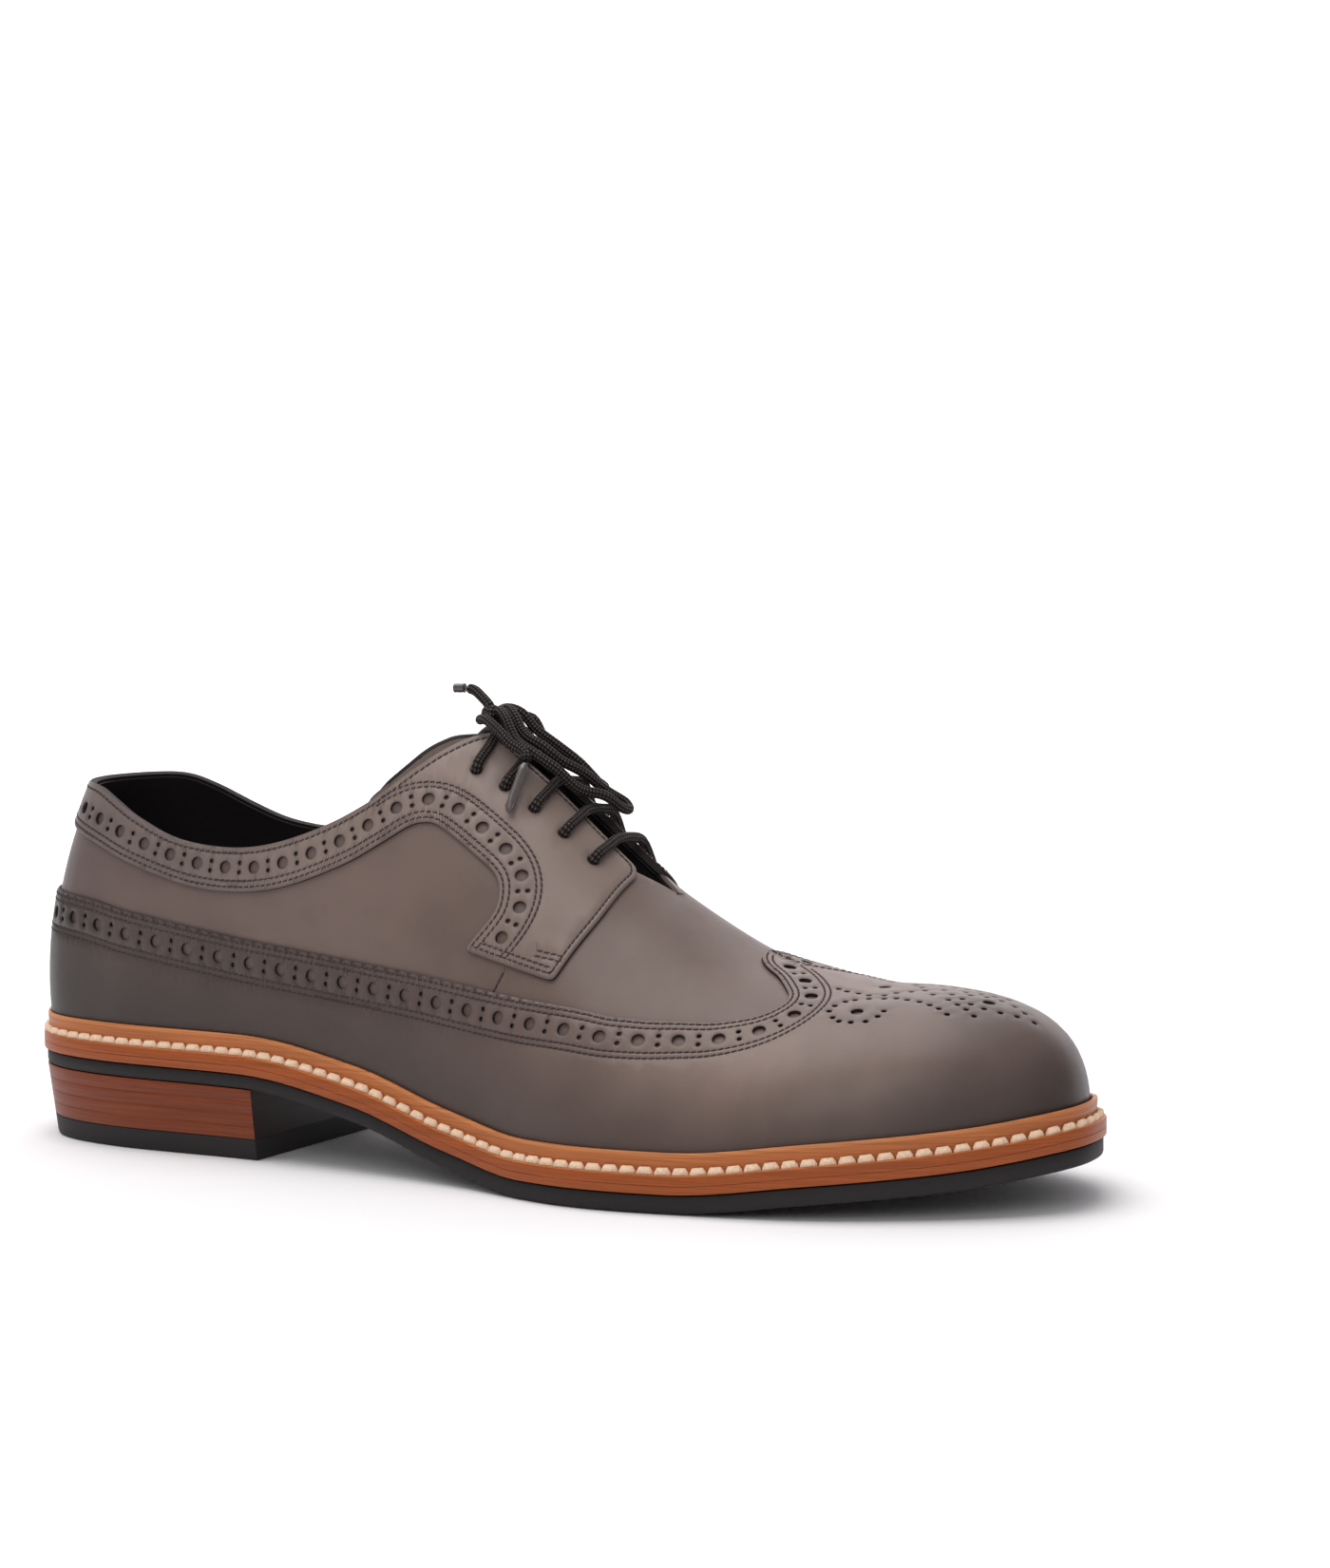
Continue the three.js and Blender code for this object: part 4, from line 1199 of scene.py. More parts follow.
def circle_places(centre, radius, count):
    """Places on a circle round a place, measured on the skin."""
    at, along_s, along_t, out = wall_frame(centre[None, 0], centre[None, 1])
    first = along_t[0] / np.linalg.norm(along_t[0])
    second = np.cross(out[0], first)
    angle = np.arange(count) * 2 * math.pi / count
    target = at + radius * (np.cos(angle)[:, None] * first + np.sin(angle)[:, None] * second)
    places = np.repeat(centre[None], count, 0)
    for _ in range(4):
        near, along_s, along_t, _ = wall_frame(places[:, 0], places[:, 1])
        places = shifted(places, along_s, along_t, target - near)
    return places


print("circle test", np.round(circle_places(np.array([3.0, 0.4]), 2.0, 3), 2).tolist())

# %% [markdown]
# ## One panel
# The panel's points are gathered first: its border, rings beside the border, rings round each hole,
# rows along each seam, and the net between them. The triangles join them on the flat pattern, and
# then each point is lifted to its height over the last. A second skin below and a wall round every
# open edge close the panel.

# %% Panel
RIM_WIDTH = 0.5
HOLE_DROP = 0.22


def keep_mark(piece, name, values):
    """Keeps a number for each point of a piece, for its finish to read."""
    layer = piece.data.attributes.new(name, "FLOAT", "POINT")
    layer.data.foreach_set("value", np.asarray(values, dtype=np.float32))


def spaced_tree(rows):
    """A search tree of the points of some places."""
    points = wall(rows[:, 0], rows[:, 1])
    tree = KDTree(len(points))
    for k, point in enumerate(points):
        tree.insert(point, k)
    tree.balance()
    return tree


def clear_of(rows, others, distance):
    """Which places keep a distance from the others."""
    tree = spaced_tree(others)
    points = wall(rows[:, 0], rows[:, 1])
    return np.array([tree.find(point)[2] > distance for point in points])


def panel(name, borders, top, bottom, materials, holes=(), troughs=(), rim_drop=0.35):
    """A closed leather piece between two offsets from the last, inside the first border and
    outside the others. holes are (place, radius); troughs are (line, depth, half width)."""
    places, drops, seams, edges, hole_of = [], [], [], [], []

    def put(rows, drop, seam=0.0, closed=False, hole=-1):
        first = sum(len(block) for block in places)
        places.append(rows)
        drops.append(np.full(len(rows), drop))
        seams.append(np.full(len(rows), seam))
        hole_of.append(np.full(len(rows), hole))
        if closed:
            ring = np.arange(len(rows)) + first
            edges.extend(zip(ring.tolist(), np.roll(ring, -1).tolist()))

    for border in borders:
        put(border, rim_drop, 1.0, closed=True)
    flat_borders = [flat_point(border[:, 0], border[:, 1]) for border in borders]

    def on_panel(rows):
        flat = flat_point(rows[:, 0], rows[:, 1])
        good = inside(flat_borders[0], flat)
        for other in flat_borders[1:]:
            good &= ~inside(other, flat)
        return good

    edge_rows = np.vstack(borders)
    for border in borders:
        for side in (RIM_WIDTH, -RIM_WIDTH):
            ring = step_across(border, side, closed=True)
            ring = ring[on_panel(ring)]
            if len(ring):
                ring = ring[clear_of(ring, edge_rows, 0.7 * RIM_WIDTH)]
            if len(ring):
                put(ring, 0.03, 0.35)
    taken = [edge_rows]
    for number, (centre, radius) in enumerate(holes):
        count = 20 if radius > 1 else 10
        put(circle_places(centre, radius, count), HOLE_DROP, 1.0, closed=True, hole=number)
        put(circle_places(centre, radius + 0.4, count), 0.02, 0.25)
        taken.append(circle_places(centre, radius + 0.3, 8))
        taken.append(centre[None])
    for line, depth, half_width in troughs:
        rows = [(line, depth, 0.85)]
        for side in (half_width, -half_width):
            rows.append((step_across(line, side), 0.0, 0.1))
        for row, drop, seam in rows:
            row = row[on_panel(row)]
            if len(row):
                row = row[clear_of(row, np.vstack(taken), 0.75)]
            if len(row):
                put(row, drop, seam)
        taken.append(line)
    rows = SKIN_NET[on_panel(SKIN_NET)]
    rows = rows[clear_of(rows, np.vstack(taken), 1.3)]
    put(rows, 0.0)

    all_places = np.vstack(places)
    all_drops = np.concatenate(drops)
    all_seams = np.concatenate(seams)
    all_holes = np.concatenate(hole_of)
    flat = flat_point(all_places[:, 0], all_places[:, 1])
    verts, _, faces, orig, _, _ = delaunay_2d_cdt([Vector(p) for p in flat], edges, [], 0, 1e-5, True)
    source = np.array([o[0] if o else -1 for o in orig])
    faces = np.array([f for f in faces if len(f) == 3])
    faces = faces[(source[faces] >= 0).all(1)]
    flat_out = np.array([(v[0], v[1]) for v in verts])
    middle = flat_out[faces].mean(1)
    good = inside(flat_borders[0], middle)
    for other in flat_borders[1:]:
        good &= ~inside(other, middle)
    in_hole = all_holes[source[faces]]
    same_hole = (in_hole[:, 0] == in_hole[:, 1]) & (in_hole[:, 1] == in_hole[:, 2])
    good &= ~(same_hole & (in_hole[:, 0] >= 0))
    faces = faces[good]
    used, faces = np.unique(faces, return_inverse=True)
    faces = faces.reshape(-1, 3)
    chosen = source[used]
    at, _, _, out = wall_frame(all_places[chosen, 0], all_places[chosen, 1])
    normal = np.cross(at[faces[:, 1]] - at[faces[:, 0]], at[faces[:, 2]] - at[faces[:, 0]])
    if (normal * out[faces[:, 0]]).sum(1).mean() < 0:
        faces = faces[:, ::-1]
    upper_points = at + out * (top - all_drops[chosen])[:, None]
    lower_points = at + out * bottom
    count = len(used)
    sides = {}
    for a, b, c in faces.tolist():
        for edge in ((a, b), (b, c), (c, a)):
            if (edge[1], edge[0]) in sides:
                del sides[(edge[1], edge[0])]
            else:
                sides[edge] = True
    walls = [(b, a, a + count, b + count) for a, b in sides]
    all_faces = faces.tolist() + (faces[:, ::-1] + count).tolist() + walls
    marks = [0] * len(faces) + [2] * len(faces) + [1] * len(walls)
    piece = new_piece(name, metres(np.vstack([upper_points, lower_points])), all_faces, materials, marks)
    keep_mark(piece, "seam", np.tile(all_seams[chosen], 2))
    keep_mark(piece, "rise", np.tile(all_places[chosen, 1], 2))
    smooth(piece, 55)
    print(name, "faces", len(all_faces))
    return piece


# %% [markdown]
# ## Broguing
# The rows of holes run at an even distance from the edge of their panel: a large hole, then a pair
# of small ones, and so on. The rows of stitches run beside them in the same way.

# %% Rows of holes and seams
BIG_HOLE = 1.65
SMALL_HOLE = 0.62
WING_PITCH = 10.2
BAND_PITCH = 9.1
PAIR_SPREAD = 2.5
EYELET_HOLE = 1.5
SEAM_DEPTH = 0.22
SEAM_WIDTH = 0.42
STITCH_PITCH = 1.75
MEDALLION_DOT = 0.72


def hole_row(line, pitch):
    """Large holes along a line, with a pair of small ones between each two."""
    rows = resample(line, pitch / 2)
    holes = []
    at, along_s, along_t, out = wall_frame(rows[:, 0], rows[:, 1])
    run = np.gradient(at, axis=0)
    run /= np.linalg.norm(run, axis=1, keepdims=True)
    beside = np.cross(out, run)
    for k in range(1, len(rows) - 1):
        if k % 2:
            holes.append((rows[k], BIG_HOLE))
        else:
            for side in (PAIR_SPREAD / 2, -PAIR_SPREAD / 2):
                place = shifted(rows[k:k + 1], along_s[k:k + 1], along_t[k:k + 1], beside[k:k + 1] * side)
                holes.append((place[0], SMALL_HOLE))
    return holes


def both_sides(rows):
    return [rows, other_side(rows)]


def other_holes(holes):
    return [(other_side(place[None])[0], radius) for place, radius in holes]


def middle_y(x):
    """The middle line of the toe's pattern, seen from above."""
    return np.interp(x, [215, 250, 295], [8.2, 5.0, 3.5])


def half_of(rows, inner=False):
    """The part of a line on one side of the toe's middle line."""
    points = wall(rows[:, 0], rows[:, 1])
    ahead = points[:, 0] > 0.62 * LENGTH
    past = (points[:, 1] > middle_y(points[:, 0]) - 0.6) != inner
    return rows[~(ahead & past)]


print("large holes", 2 * BIG_HOLE, "wide")

# %% [markdown]
# ## The wing's pattern
# The wing carries two rows of stitches beside its edge, the row of holes, and two more rows. The
# medallion on the toe is drawn seen from above, one half as points, and the other half mirrors it.

# %% Wing pattern
WING_SEAMS = (-1.1, -2.6, -9.4, -10.9)
WING_HOLES = -5.9
wing_rows, wing_holes = [], []
for line, turn, inner in ((wing_outer, 1, False), (wing_inner, -1, True)):
    even = resample(line, 1.0)
    for distance in WING_SEAMS:
        row = step_across(even, turn * distance)
        wing_rows.append(resample(half_of(row, inner), 0.9))
    wing_holes += hole_row(half_of(step_across(even, turn * WING_HOLES), inner), WING_PITCH)

MEDALLION_LARGE = [(253.0, -15.2), (250.5, 5.0), (279.6, 4.0)]
MEDALLION_RING = [
    (246.1, -16.8), (248.4, -19.3), (250.7, -20.4), (253.8, -20.1), (257.2, -18.8), (259.1, -16.0),
    (259.4, -13.2),
]
MEDALLION_OUTER = [
    (246.1, -13.8), (247.4, -10.6), (249.2, -8.8), (252.2, -7.1), (255.9, -6.1), (258.8, -5.1),
    (261.8, -5.2), (265.2, -5.3), (268.4, -6.1), (271.3, -7.0), (274.3, -8.6),
]
MEDALLION_INNER = [
    (241.8, -3.5), (244.4, -4.0), (247.6, -3.9), (250.9, -4.6), (254.7, -3.6), (256.6, -0.8),
    (259.5, 1.7), (262.0, 4.4), (265.6, 1.4), (270.8, -0.6), (274.2, -2.5), (277.2, -3.9), (280.2, -5.7),
]
MEDALLION_TAIL = [
    (269.6, 3.9), (273.4, 1.9), (276.8, -0.4), (280.6, -0.9), (284.6, -0.1), (288.2, 1.6), (291.9, 3.4),
]


def medallion():
    """The toe's punched pattern, one half listed and the other mirrored."""
    spots = [(spot, BIG_HOLE * 0.95) for spot in MEDALLION_LARGE]
    for row in (MEDALLION_RING, MEDALLION_OUTER, MEDALLION_INNER, MEDALLION_TAIL):
        spots += [(spot, MEDALLION_DOT) for spot in row]
    every = []
    for (x, y), radius in spots:
        every.append(((x, y), radius))
        mirrored = 2 * middle_y(x) - y
        if abs(mirrored - y) > 2.2 * radius:
            every.append(((x, mirrored), radius))
    places = find_places([spot for spot, _ in every], (0, 1), lowest=0.15)
    return [(place, radius) for place, (_, radius) in zip(places, every)]


wing_holes += medallion()
print("wing holes", len(wing_holes))

# %% [markdown]
# ## The band's pattern
# The collar band is edged in the same way. Its rows stop where the band meets the facing's foot, so
# each row keeps only the part that lies well inside the band's own border. The eyelets go through
# the facings, and two short rows tack the facing down where it is pulled most.

# %% Band pattern
BAND_SEAMS = (1.3, 2.9)
BAND_HOLES = 6.4
BAND_INNER_SEAMS = (9.9, 11.3)
RIM_SEAM = 1.6
FOOT_SEAM = 3.1


def within(rows, border, distance):
    """Which places lie inside a closed border, at least so far from it."""
    good = inside(flat_point(border[:, 0], border[:, 1]), flat_point(rows[:, 0], rows[:, 1]))
    return good & clear_of(rows, border, distance)


band_even = resample(band_outer, 1.0)
band_rows = []
for distance in BAND_SEAMS:
    row = step_across(band_even, distance)
    band_rows += both_sides(resample(row[within(row, BAND_LOOP, 1.0)], 0.9))
band_holes = hole_row(step_across(band_even, BAND_HOLES), BAND_PITCH)
band_holes = [hole for hole in band_holes if within(hole[0][None], BAND_LOOP, 2.6)[0]]
band_holes += other_holes(band_holes)
for distance in BAND_INNER_SEAMS:
    row = step_across(band_even, distance)
    points = wall(row[:, 0], row[:, 1])
    row = row[(points[:, 0] > 0.38 * LENGTH) & within(row, BAND_LOOP, 1.2)]
    band_rows += both_sides(resample(row, 0.9))


def beside_border(places, distance):
    """The part of a line moved in from the band's border that keeps its distance from it."""
    row = step_across(resample(places, 1.0), distance)
    return row[within(row, BAND_LOOP, abs(distance) - 0.35)]


throat_edge = throat_half(throat_start_x, facing_top_x)
border_rows = [
    beside_border(collar_outer, -RIM_SEAM),
    beside_border(np.vstack([facing_outer, throat_edge[::-1]]), RIM_SEAM),
    beside_border(facing_outer[:10], FOOT_SEAM),
]
for row in border_rows:
    if len(row) > 4:
        band_rows += both_sides(resample(row, 0.9))

EYELET_X = np.linspace(EYELET_FIRST, EYELET_LAST, EYELETS) * LENGTH
EYELET_NEAR, EYELET_FAR = (
    find_places(np.stack([EYELET_X, ridge_y(EYELET_X) + side * EYELET_SPREAD / 2], -1), (0, 1), lowest=0.4)
    for side in (-1, 1)
)
eyelet_holes = [(place, EYELET_HOLE) for place in np.vstack([EYELET_NEAR, EYELET_FAR])]

# The bar tack at the facing's lower front corner, and the quarter's seam below the facing
TACK = [(171.0, 58.6), (173.5, 58.1), (176.5, 57.6), (178.4, 57.2)]
TACK_WIDTH = 1.5
QUARTER_SEAM = [(163.0, 54.5), (161.5, 51.0), (160.0, 47.5)]
tack = find_places(TACK, (0, 2))
for distance in (0.0, TACK_WIDTH):
    band_rows += both_sides(resample(step_across(tack, distance), 0.9))
quarter_rows = both_sides(resample(find_places(QUARTER_SEAM, (0, 2)), 0.9))
print("band rows", len(band_rows), "band holes", len(band_holes))

# %% [markdown]
# ## Sole and heel
# The sole is built up in layers, as on the bench: black rubber outsole, leather midsole, and a welt
# with a lip that stands up against the upper. Each layer is a stack of outlines joined into one
# closed skin, since its underside follows the arch and the toe spring.

# %% Layers of the sole
RINGS = np.arange(8 * LOOP) / 8


def loft(name, rings, materials, marks=None, closed=False):
    """A skin through rings of the same count. Its two ends are closed by strips, or it is a tube."""
    count = len(rings[0])
    points = np.vstack(rings)
    faces, kinds = [], []
    spans = len(rings) if closed else len(rings) - 1
    for k in range(spans):
        low, high = k * count, (k + 1) % len(rings) * count
        for j in range(count):
            n = (j + 1) % count
            faces.append((low + j, low + n, high + n, high + j))
            kinds.append(marks[k] if marks else 0)
    if not closed:
        last = (len(rings) - 1) * count
        for j in range(count // 2):
            corners = (j, j + 1, (count - j - 1) % count, (count - j) % count)
            loop = list(dict.fromkeys(corners))
            if len(loop) > 2:
                faces.append(loop[::-1])
                faces.append([last + corner for corner in loop])
                kinds += [0, 0]
    piece = new_piece(name, metres(points), faces, materials, kinds)
    turn_out(piece)
    smooth(piece, 40)
    return piece


def turn_out(piece):
    """Makes every face look outward."""
    mesh = bmesh.new()
    mesh.from_mesh(piece.data)
    bmesh.ops.recalc_face_normals(mesh, faces=mesh.faces)
    mesh.to_mesh(piece.data)
    mesh.free()


def outline_ring(inset, height):
    """The outline moved in, at a height that is a function of x."""
    plan = outline_point(RINGS, inset)
    return np.column_stack([plan, height(plan[:, 0])])


def feather_ring(out, height):
    plan = feather_point(RINGS, out)
    return np.column_stack([plan, height(plan[:, 0])])


def above(height, rise):
    return lambda x: height(x) + rise


SEAM = 0.08


def make_outsole():
    bottom, top = outsole_bottom, above(outsole_top, -GAP)
    side = OUTSOLE_SET_IN
    piece = loft("rubber_outsole", [
        outline_ring(side + 2.2 * EDGE_ROUND, bottom),
        outline_ring(side + EDGE_ROUND, above(bottom, 0.06)),
        outline_ring(side + EDGE_ROUND * 0.3, above(bottom, EDGE_ROUND * 0.35)),
        outline_ring(side, above(bottom, EDGE_ROUND)),
        outline_ring(side, above(top, -0.5)),
        outline_ring(side + 0.25, above(top, -0.12)),
        outline_ring(side + 0.7, top),
    ], [RUBBER])
    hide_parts("outsole")


def make_midsole():
    bottom, top = outsole_top, above(midsole_top, -0.05)
    piece = loft("leather_midsole", [
        outline_ring(0.6, bottom),
        outline_ring(0.12, above(bottom, 0.12)),
        outline_ring(0, above(bottom, 0.5)),
        outline_ring(0, above(top, -SEAM)),
        outline_ring(SEAM, top),
    ], [SOLE_EDGE])
    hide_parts("midsole")


def make_insole():
    top = above(welt_top, INSOLE)
    inset = -(LEATHER + GAP)
    piece = loft("leather_insole", [
        feather_ring(inset - 0.4, above(midsole_top, 0.05)),
        feather_ring(inset, above(midsole_top, 0.4)),
        feather_ring(inset, above(top, -0.4)),
        feather_ring(inset - 0.4, top),
    ], [SOCK])
    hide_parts("insole")


LIP_FOOT = OVERLAY + 0.05
LIP_THIN = 0.85
LIP_THICK = 1.4
LIP_LEAN = 0.09


def margin_at(s):
    """How far the welt's outline lies outside the feather."""
    return WELT_HEEL + round_value("welt", s) * (WELT_SIDE - WELT_HEEL)


def lip_out(s):
    """The outer face of the lip, which is thinner round the back of the heel."""
    share = (margin_at(s) - WELT_HEEL) / (WELT_SIDE - WELT_HEEL)
    return LIP_FOOT + LIP_THIN + share * (LIP_THICK - LIP_THIN)


def lip_ring(out, rise):
    plan = feather_point(RINGS, out + rise * LIP_LEAN)
    return np.column_stack([plan, welt_top(plan[:, 0]) + rise])


def make_welt():
    """Once round the section of the welt: flat ledge, groove, and the lip against the upper."""
    rim = EDGE_ROUND / 2
    far = lip_out(RINGS)
    ledge = margin_at(RINGS) - far
    piece = loft("storm_welt", [
        feather_ring(-LEATHER, midsole_top),
        outline_ring(SEAM, midsole_top),
        outline_ring(0, above(midsole_top, SEAM)),
        outline_ring(0, above(welt_top, -rim)),
        outline_ring(0.1, above(welt_top, -0.16)),
        outline_ring(rim, welt_top),
        lip_ring(far + ledge * 0.55, 0.0),
        lip_ring(far + ledge * 0.3, -0.3),
        lip_ring(far + 0.05, -0.25),
        lip_ring(far - 0.05, 0.3),
        lip_ring(far, 1.8),
        lip_ring(far, LIP_HEIGHT - 0.9),
        lip_ring(far - 0.12, LIP_HEIGHT - 0.3),
        lip_ring(far - 0.4, LIP_HEIGHT),
        lip_ring(LIP_FOOT + 0.15, LIP_HEIGHT - 0.05),
        lip_ring(LIP_FOOT, LIP_HEIGHT - 0.4),
        lip_ring(LIP_FOOT, 0.0),
        feather_ring(-LEATHER, welt_top),
    # The three spans round the lip's top take the lighter raw edge with its painted highlight.
    ], [LIP, SOLE_EDGE, LIP_TOP_RAW_AND_HIGHLIGHT], [1] * 4 + [0] * 7 + [2] * 3 + [0] * 4, closed=True)
    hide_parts("welt")


make_outsole()
make_midsole()
make_insole()
make_welt()
print("sole layers made")

# %% [markdown]
# ## Heel
# A heel is a stack of leather layers on a rubber top lift, trimmed to the outline of the sole and
# cut straight at its front, which is painted near black as the shade under the arch. It draws in a
# little toward the floor.

# %% Heel
HEEL_LAYERS = 4
SEAT_GAP = 0.05


def heel_inset(z):
    return OUTSOLE_SET_IN + HEEL_TAPER * (LIFT + STACK - z) / (LIFT + STACK)


def breast_place(inset, inner):
    """Where the outline reaches the heel's front, on one side."""
    low, high = 0.5, 5.0
    for _ in range(40):
        middle = (low + high) / 2
        s = LOOP - middle if inner else middle
        if outline_point(np.array([s]), inset)[0, 0] < HEEL_BREAST:
            low = middle
        else:
            high = middle
    return low


def heel_ring(inset, height):
    """The outline of the heel, straight across its front."""
    outer, inner = breast_place(inset, False), breast_place(inset, True)
    round_part = outline_point(np.linspace(-inner, outer, 101), inset)
    first, last = round_part[0], round_part[-1]
    across = last + (first - last) * np.linspace(0, 1, 14)[1:-1, None]
    plan = np.vstack([round_part[50:], across, round_part[:50]])
    return np.column_stack([plan, height(plan[:, 0])])


def make_top_lift():
    top = LIFT - SEAT_GAP
    rings = []
    for step_in, z in ((0.9, 0.0), (0.25, 0.15), (0, 0.7), (0, top - 0.3), (0.3, top)):
        rings.append(heel_ring(heel_inset(z) + step_in, level(z)))
    piece = loft("top_lift_rubber", rings, [RUBBER])
    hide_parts("top_lift")


def make_heel_stack():
    """Leather layers with a fine line between them, and a front painted near black as the shade under the
    arch.
    """
    rings = []
    for k in range(HEEL_LAYERS):
        for share, step_in in ((0.0, 0.1), (0.05, 0.0), (0.95, 0.0), (1.0, 0.1)):
            rise = (k + share) / HEEL_LAYERS
            inset = heel_inset(LIFT + rise * STACK) + step_in
            rings.append(heel_ring(inset, between_heights(rise)))
    piece = loft("heel_stack_leather", rings, [STACKED, BREAST_SHADE])
    # Faces that look toward the toe, the heel's front, get the painted arch shade.
    for face in piece.data.polygons:
        if face.normal.x > 0.9:
            face.material_index = 1
    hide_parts("heel_stack")


def level(z):
    return lambda x: np.full_like(x, z)


def between_heights(share):
    """A height between the top lift and the outsole."""
    return lambda x: LIFT + (outsole_bottom(x) - SEAT_GAP - LIFT) * share


make_top_lift()
make_heel_stack()
print("heel", LIFT + STACK, "high")

# %% [markdown]
# ## Stitches
# Each stitch is a small capsule sunk into the leather at its ends. All the stitches of one kind are
# one mesh, made by laying the same small form along the seams.

# %% Lay small forms along a line
def capsule(sides=6):
    """A unit capsule: length along the first axis, ends sunk along the third."""
    rings = [(-0.46, 0.66, -0.32), (-0.3, 1.0, 0.0), (0.3, 1.0, 0.0), (0.46, 0.66, -0.32)]
    points, faces = [], []
    for along, size, sink in rings:
        for j in range(sides):
            angle = 2 * math.pi * j / sides
            points.append((along, size * math.cos(angle) / 2, size * math.sin(angle) / 2 + sink))
    rows = len(rings)
    for k in range(rows - 1):
        for j in range(sides):
            n = (j + 1) % sides
            faces.append((k * sides + j, k * sides + n, (k + 1) * sides + n, (k + 1) * sides + j))
    points += [(-0.5, 0, -0.55), (0.5, 0, -0.55)]
    tail, head = len(points) - 2, len(points) - 1
    for j in range(sides):
        n = (j + 1) % sides
        faces.append((tail, n, j))
        faces.append((head, (rows - 1) * sides + j, (rows - 1) * sides + n))
    return np.array(points), faces


def lay(name, at, run, out, size, material, slant=0.0):
    """One mesh of a capsule at each point: size is its length, width and height."""
    form, faces = capsule()
    run = run / np.linalg.norm(run, axis=1, keepdims=True)
    out = out - run * (out * run).sum(1, keepdims=True)
    out /= np.linalg.norm(out, axis=1, keepdims=True)
    beside = np.cross(out, run)
    ahead = run * math.cos(slant) + beside * math.sin(slant)
    aside = np.cross(out, ahead)
    local = form[None] * np.broadcast_to(size, at.shape)[:, None]
    points = (
        at[:, None]
        + local[..., 0, None] * ahead[:, None]
        + local[..., 1, None] * aside[:, None]
        + local[..., 2, None] * out[:, None]
    ).reshape(-1, 3)
    count = len(form)
    all_faces = []
    for k in range(len(at)):
        all_faces += [tuple(corner + k * count for corner in face) for face in faces]
    piece = new_piece(name, metres(points), all_faces, [material])
    smooth(piece, 180)
    return piece


STITCH_LENGTH = STITCH_PITCH * 0.92
STITCH_WIDTH, STITCH_HEIGHT = 0.5, 0.44
STITCH_SLANT = 0.16


def sew(name, rows, height):
    """Stitches along rows of places, at a height over the last."""
    spots, runs, outs = [], [], []
    for row in rows:
        if len(row) < 4:
            continue
        even = resample(row, STITCH_PITCH)
        at, _, _, out = wall_frame(even[:, 0], even[:, 1])
        at = at + out * height
        spots.append((at[1:] + at[:-1]) / 2)
        runs.append(at[1:] - at[:-1])
        outs.append((out[1:] + out[:-1]) / 2)
    spots, runs, outs = np.vstack(spots), np.vstack(runs), np.vstack(outs)
    size = (STITCH_LENGTH, STITCH_WIDTH, STITCH_HEIGHT)
    piece = lay(name, spots, runs, outs, size, THREAD, STITCH_SLANT)
    print(name, len(spots))


print("points of a stitch", len(capsule()[0]))

# %% [markdown]
# ## Welt stitches
# The welt is sewn to the sole with thick waxed thread, once round, in the groove beside the lip.
# The ledge is narrower round the heel, so the stitches take their width from it.

# %% Welt stitches
WELT_PITCH = 4.6
WELT_STITCH_HEIGHT = 2.4
WELT_STITCH_SLANT = 0.08


def sew_welt():
    """Thick stitches lie in the groove beside the lip."""
    s = np.linspace(0, LOOP, 2001)
    plan = feather_point(s, lip_out(s))
    reach = np.concatenate([[0], np.cumsum(np.linalg.norm(np.diff(plan, axis=0), axis=1))])
    count = int(reach[-1] / WELT_PITCH)
    s = np.interp(np.arange(count) * reach[-1] / count, reach, s)
    ledge = margin_at(s) - lip_out(s)
    plan = feather_point(s, lip_out(s) + ledge * 0.36)
    at = np.column_stack([plan, welt_top(plan[:, 0]) + 0.6])
    run = np.roll(at, -1, axis=0) - np.roll(at, 1, axis=0)
    along = run[:, :2] / np.linalg.norm(run[:, :2], axis=1, keepdims=True)
    out = np.column_stack([along[:, 1] * 0.3, -along[:, 0] * 0.3, np.ones(count)])
    size = np.column_stack([
        np.full(count, WELT_PITCH * 0.98),
        np.maximum(ledge * 0.8, 1.6),
        np.full(count, WELT_STITCH_HEIGHT),
    ])
    piece = lay("welt_stitches", at, run, out, size, WELT_THREAD, WELT_STITCH_SLANT)
    print("welt stitches", count)


sew_welt()

# %% [markdown]
# ## The upper
# The bare shell, its lining, the long wing and the collar band with the facings go over each other
# on the last, each at its own distance from it. The tongue lies under the throat.

# %% Cut the panels
SHELL_WALL = 1.0


def with_depth(rows):
    return [(row, SEAM_DEPTH, SEAM_WIDTH) for row in rows]


def make_upper():
    edge = step_across(OPENING, -0.5, closed=True)
    shell = panel(
        "upper_shell", [FOOT_LINE, edge], 0.0, -SHELL_WALL, [QUARTER, FOLDED, EDGE],
        troughs=with_depth(quarter_rows),
    )
    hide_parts("upper")
    lining_edge = step_across(OPENING, -0.7, closed=True)
    lining = panel("upper_lining", [FOOT_LINE, lining_edge], -SHELL_WALL - 0.05, -LEATHER, [LINING] * 3)
    wing = panel(
        "long_wing", [FOOT_LINE, WING_LINE], OVERLAY, -0.3, [WING, EDGE, EDGE],
        holes=wing_holes, troughs=with_depth(wing_rows),
    )
    band = panel(
        "collar_band", [BAND_LOOP], OVERLAY, -0.95, [BAND, EDGE, LINING],
        holes=band_holes + eyelet_holes, troughs=with_depth(band_rows),
    )


make_upper()

# %% [markdown]
# ## Tongue
# The tongue keeps the laces off the foot. It lies under the throat, follows the same skin a little
# deeper, and ends over the instep in a rolled black edge with one row of stitches.

# %% Tongue
TONGUE_UNDER = 2.0
PIPING = 2.0
TONGUE_BACK = 0.364
TONGUE_SIDE = np.array([[0.364, 0.760], [0.520, 0.650], [0.617, 0.530], [0.655, 0.480]])


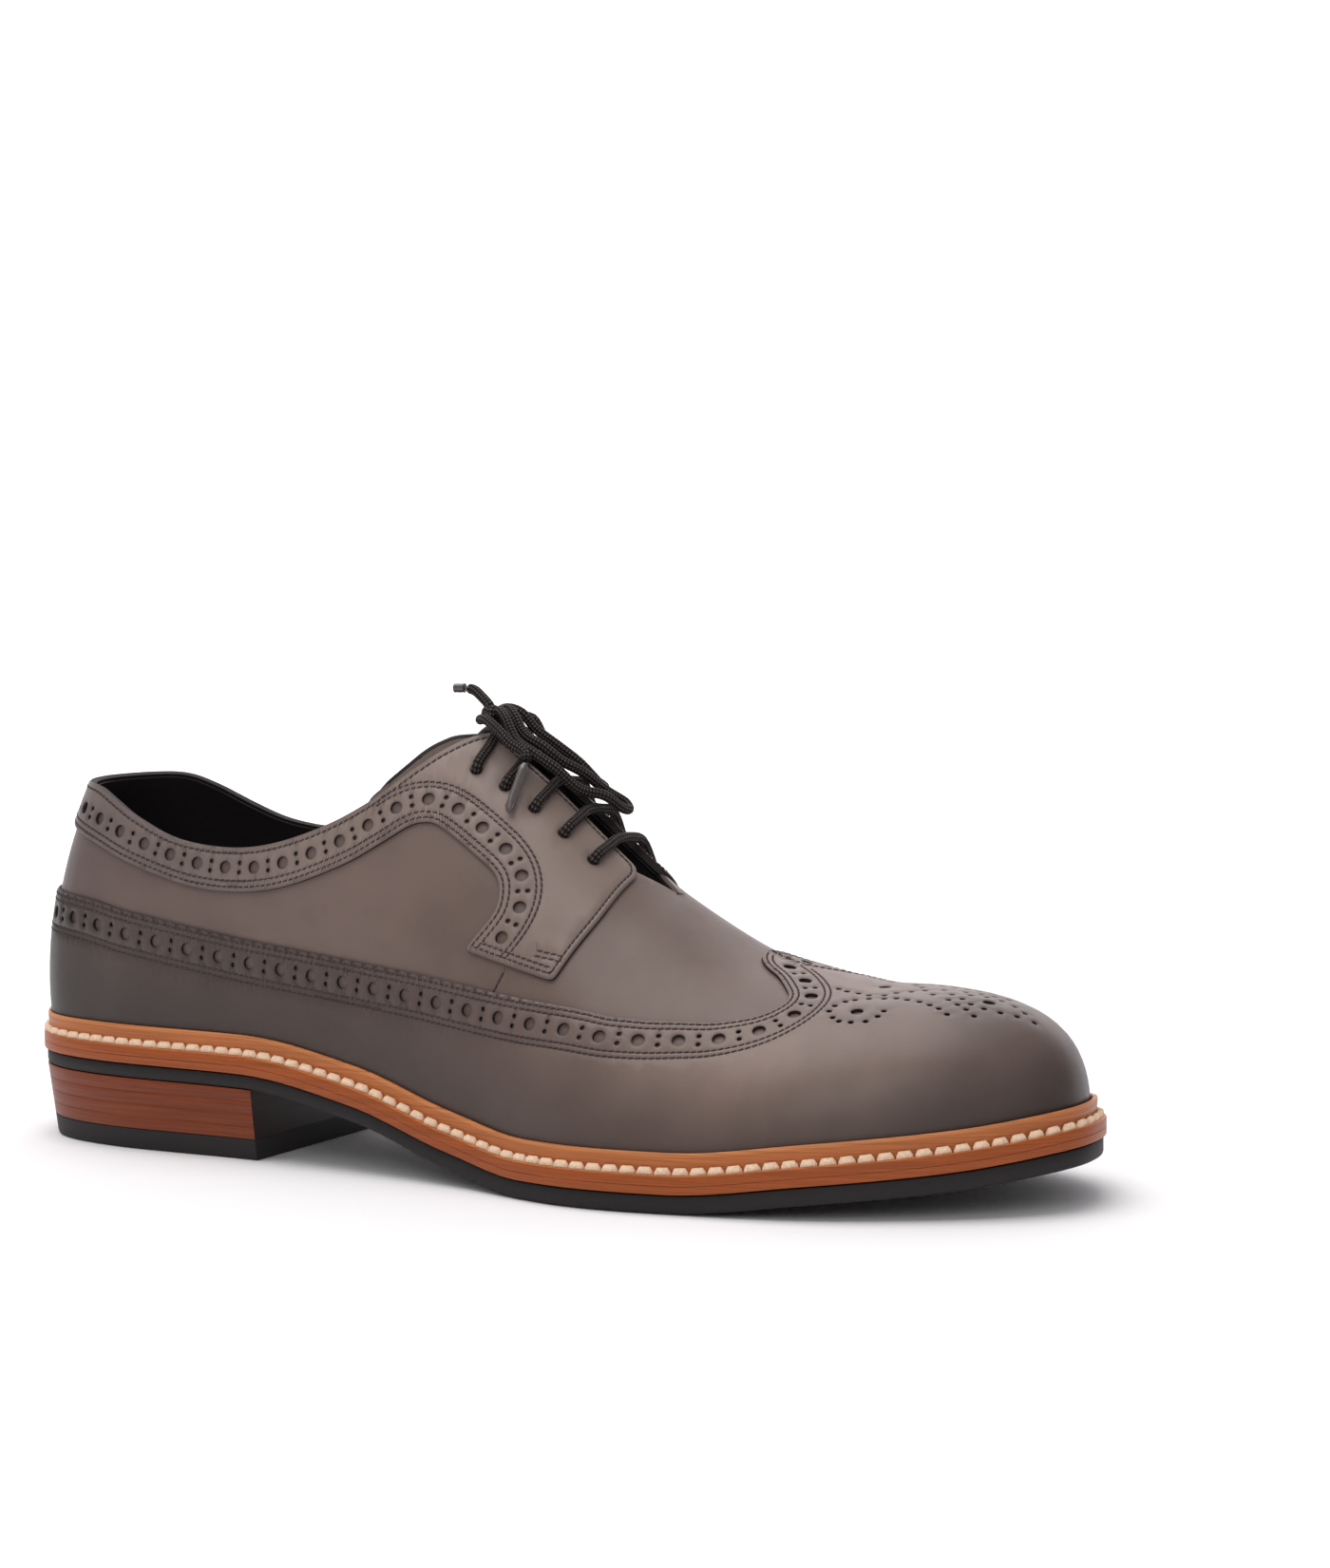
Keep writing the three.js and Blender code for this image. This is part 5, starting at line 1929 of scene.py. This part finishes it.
def make_tongue():
    """The tongue runs from under the vamp to a rolled edge over the instep."""
    s = np.linspace(2.2, 7.2, 300)
    low = meet_line(s, side_line(TONGUE_SIDE))
    high = meet_line(s, side_line(TONGUE_TOP))
    x = wall(low[:, 0], low[:, 1])[:, 0]
    use = (x > TONGUE_BACK * LENGTH) & (x < TONGUE_SIDE[-1, 0] * LENGTH) & (low[:, 1] < high[:, 1])
    low, high = low[use], high[use]
    top = high[high[:, 1] < 0.985]
    peak = np.array([[top[-1, 0] + 0.02, 0.998]])
    front = np.stack([np.full(8, low[-1, 0]), np.linspace(low[-1, 1], 0.998, 9)[1:]], -1)
    half = np.vstack([peak, top[::-1], low, front])
    border = soften(resample(np.vstack([half, other_side(half)[::-1]]), 1.2, closed=True), 3)
    edge = soften(resample(np.vstack([top, peak, other_side(peak), other_side(top)[::-1]]), 1.0), 3, False)
    stitch_row = step_across(edge, -2.6)
    tongue = panel(
        "tongue_leather", [border], -TONGUE_UNDER, -TONGUE_UNDER - TONGUE, [TONGUE_GREY_AND_SLOT_SHADE, LINING, LINING],
        rim_drop=0.3,
    )
    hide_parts("tongue")
    at, _, _, out = wall_frame(edge[:, 0], edge[:, 1])
    count = np.arange(len(edge))
    sunk = 3.5 * np.clip(1 - np.minimum(count, count[::-1]) / 9, 0, 1) ** 2
    route = at - out * (TONGUE_UNDER + TONGUE / 2 + sunk)[:, None]
    piping = tube("tongue_piping", route, PIPING, LINING, sides=10)
    sew("tongue_stitches", [stitch_row], -TONGUE_UNDER + 0.05)


make_tongue()

# %% [markdown]
# ## Laces through the eyelets
# Each of the five bars rises from one eyelet, lies over the facing, bridges the throat and goes down
# on the other side. The route takes its points from the eyelets and from the edges of the throat.

# %% Laces through the eyelets
BAR_LIFT = OVERLAY + LACE * 0.5 + 0.05


def make_bars():
    """Each lace bar comes up through its eyelet, crosses the throat and goes down again."""
    half = np.linspace(0, 1, 5)
    for k in range(EYELETS):
        ends = []
        for place, side in ((EYELET_NEAR[k], -1), (EYELET_FAR[k], 1)):
            hole, _, _, out = (row[0] for row in wall_frame(place[None, 0], place[None, 1]))
            x = EYELET_X[k]
            edge_place = find_places([[x, ridge_y(x) + side * THROAT_GAP / 2]], (0, 1), lowest=0.4)
            edge, _, _, edge_out = (row[0] for row in wall_frame(edge_place[:, 0], edge_place[:, 1]))
            toward = (edge - hole) / np.linalg.norm(edge - hole)
            ends.append([
                hole - out * 2.2 - toward * 0.3,
                hole - out * 0.6 - toward * 0.15,
                hole + out * (OVERLAY + 0.35) + toward * 0.2,
                hole + out * (BAR_LIFT + 0.15) + toward * 2.0,
                hole * 0.5 + edge * 0.5 + (out + edge_out) / 2 * (BAR_LIFT + 0.25),
                edge + edge_out * BAR_LIFT,
            ])
        near, far = ends
        middle = (near[-1] + far[-1]) / 2 + np.array([0, 0, 0.8])
        route = smooth_route([*near, middle, *far[::-1]], 5)
        bar = tube(f"lace_crossing_{k + 1}", route, LACE, LACE_BRAID)
        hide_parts(f"lace_bar_{k + 1}")


make_bars()

print("bars", EYELETS)

# %% [markdown]
# ## Stitches of the upper
# The rows laid down with the patterns are sewn now: the thread lies in the troughs that the panels
# already have, sunk a little into the leather.

# %% Stitch the upper
THREAD_SUNK = 0.08
sew("wing_stitches", wing_rows, OVERLAY - THREAD_SUNK)
sew("band_stitches", band_rows, OVERLAY - THREAD_SUNK)
sew("quarter_stitches", quarter_rows, -0.05)
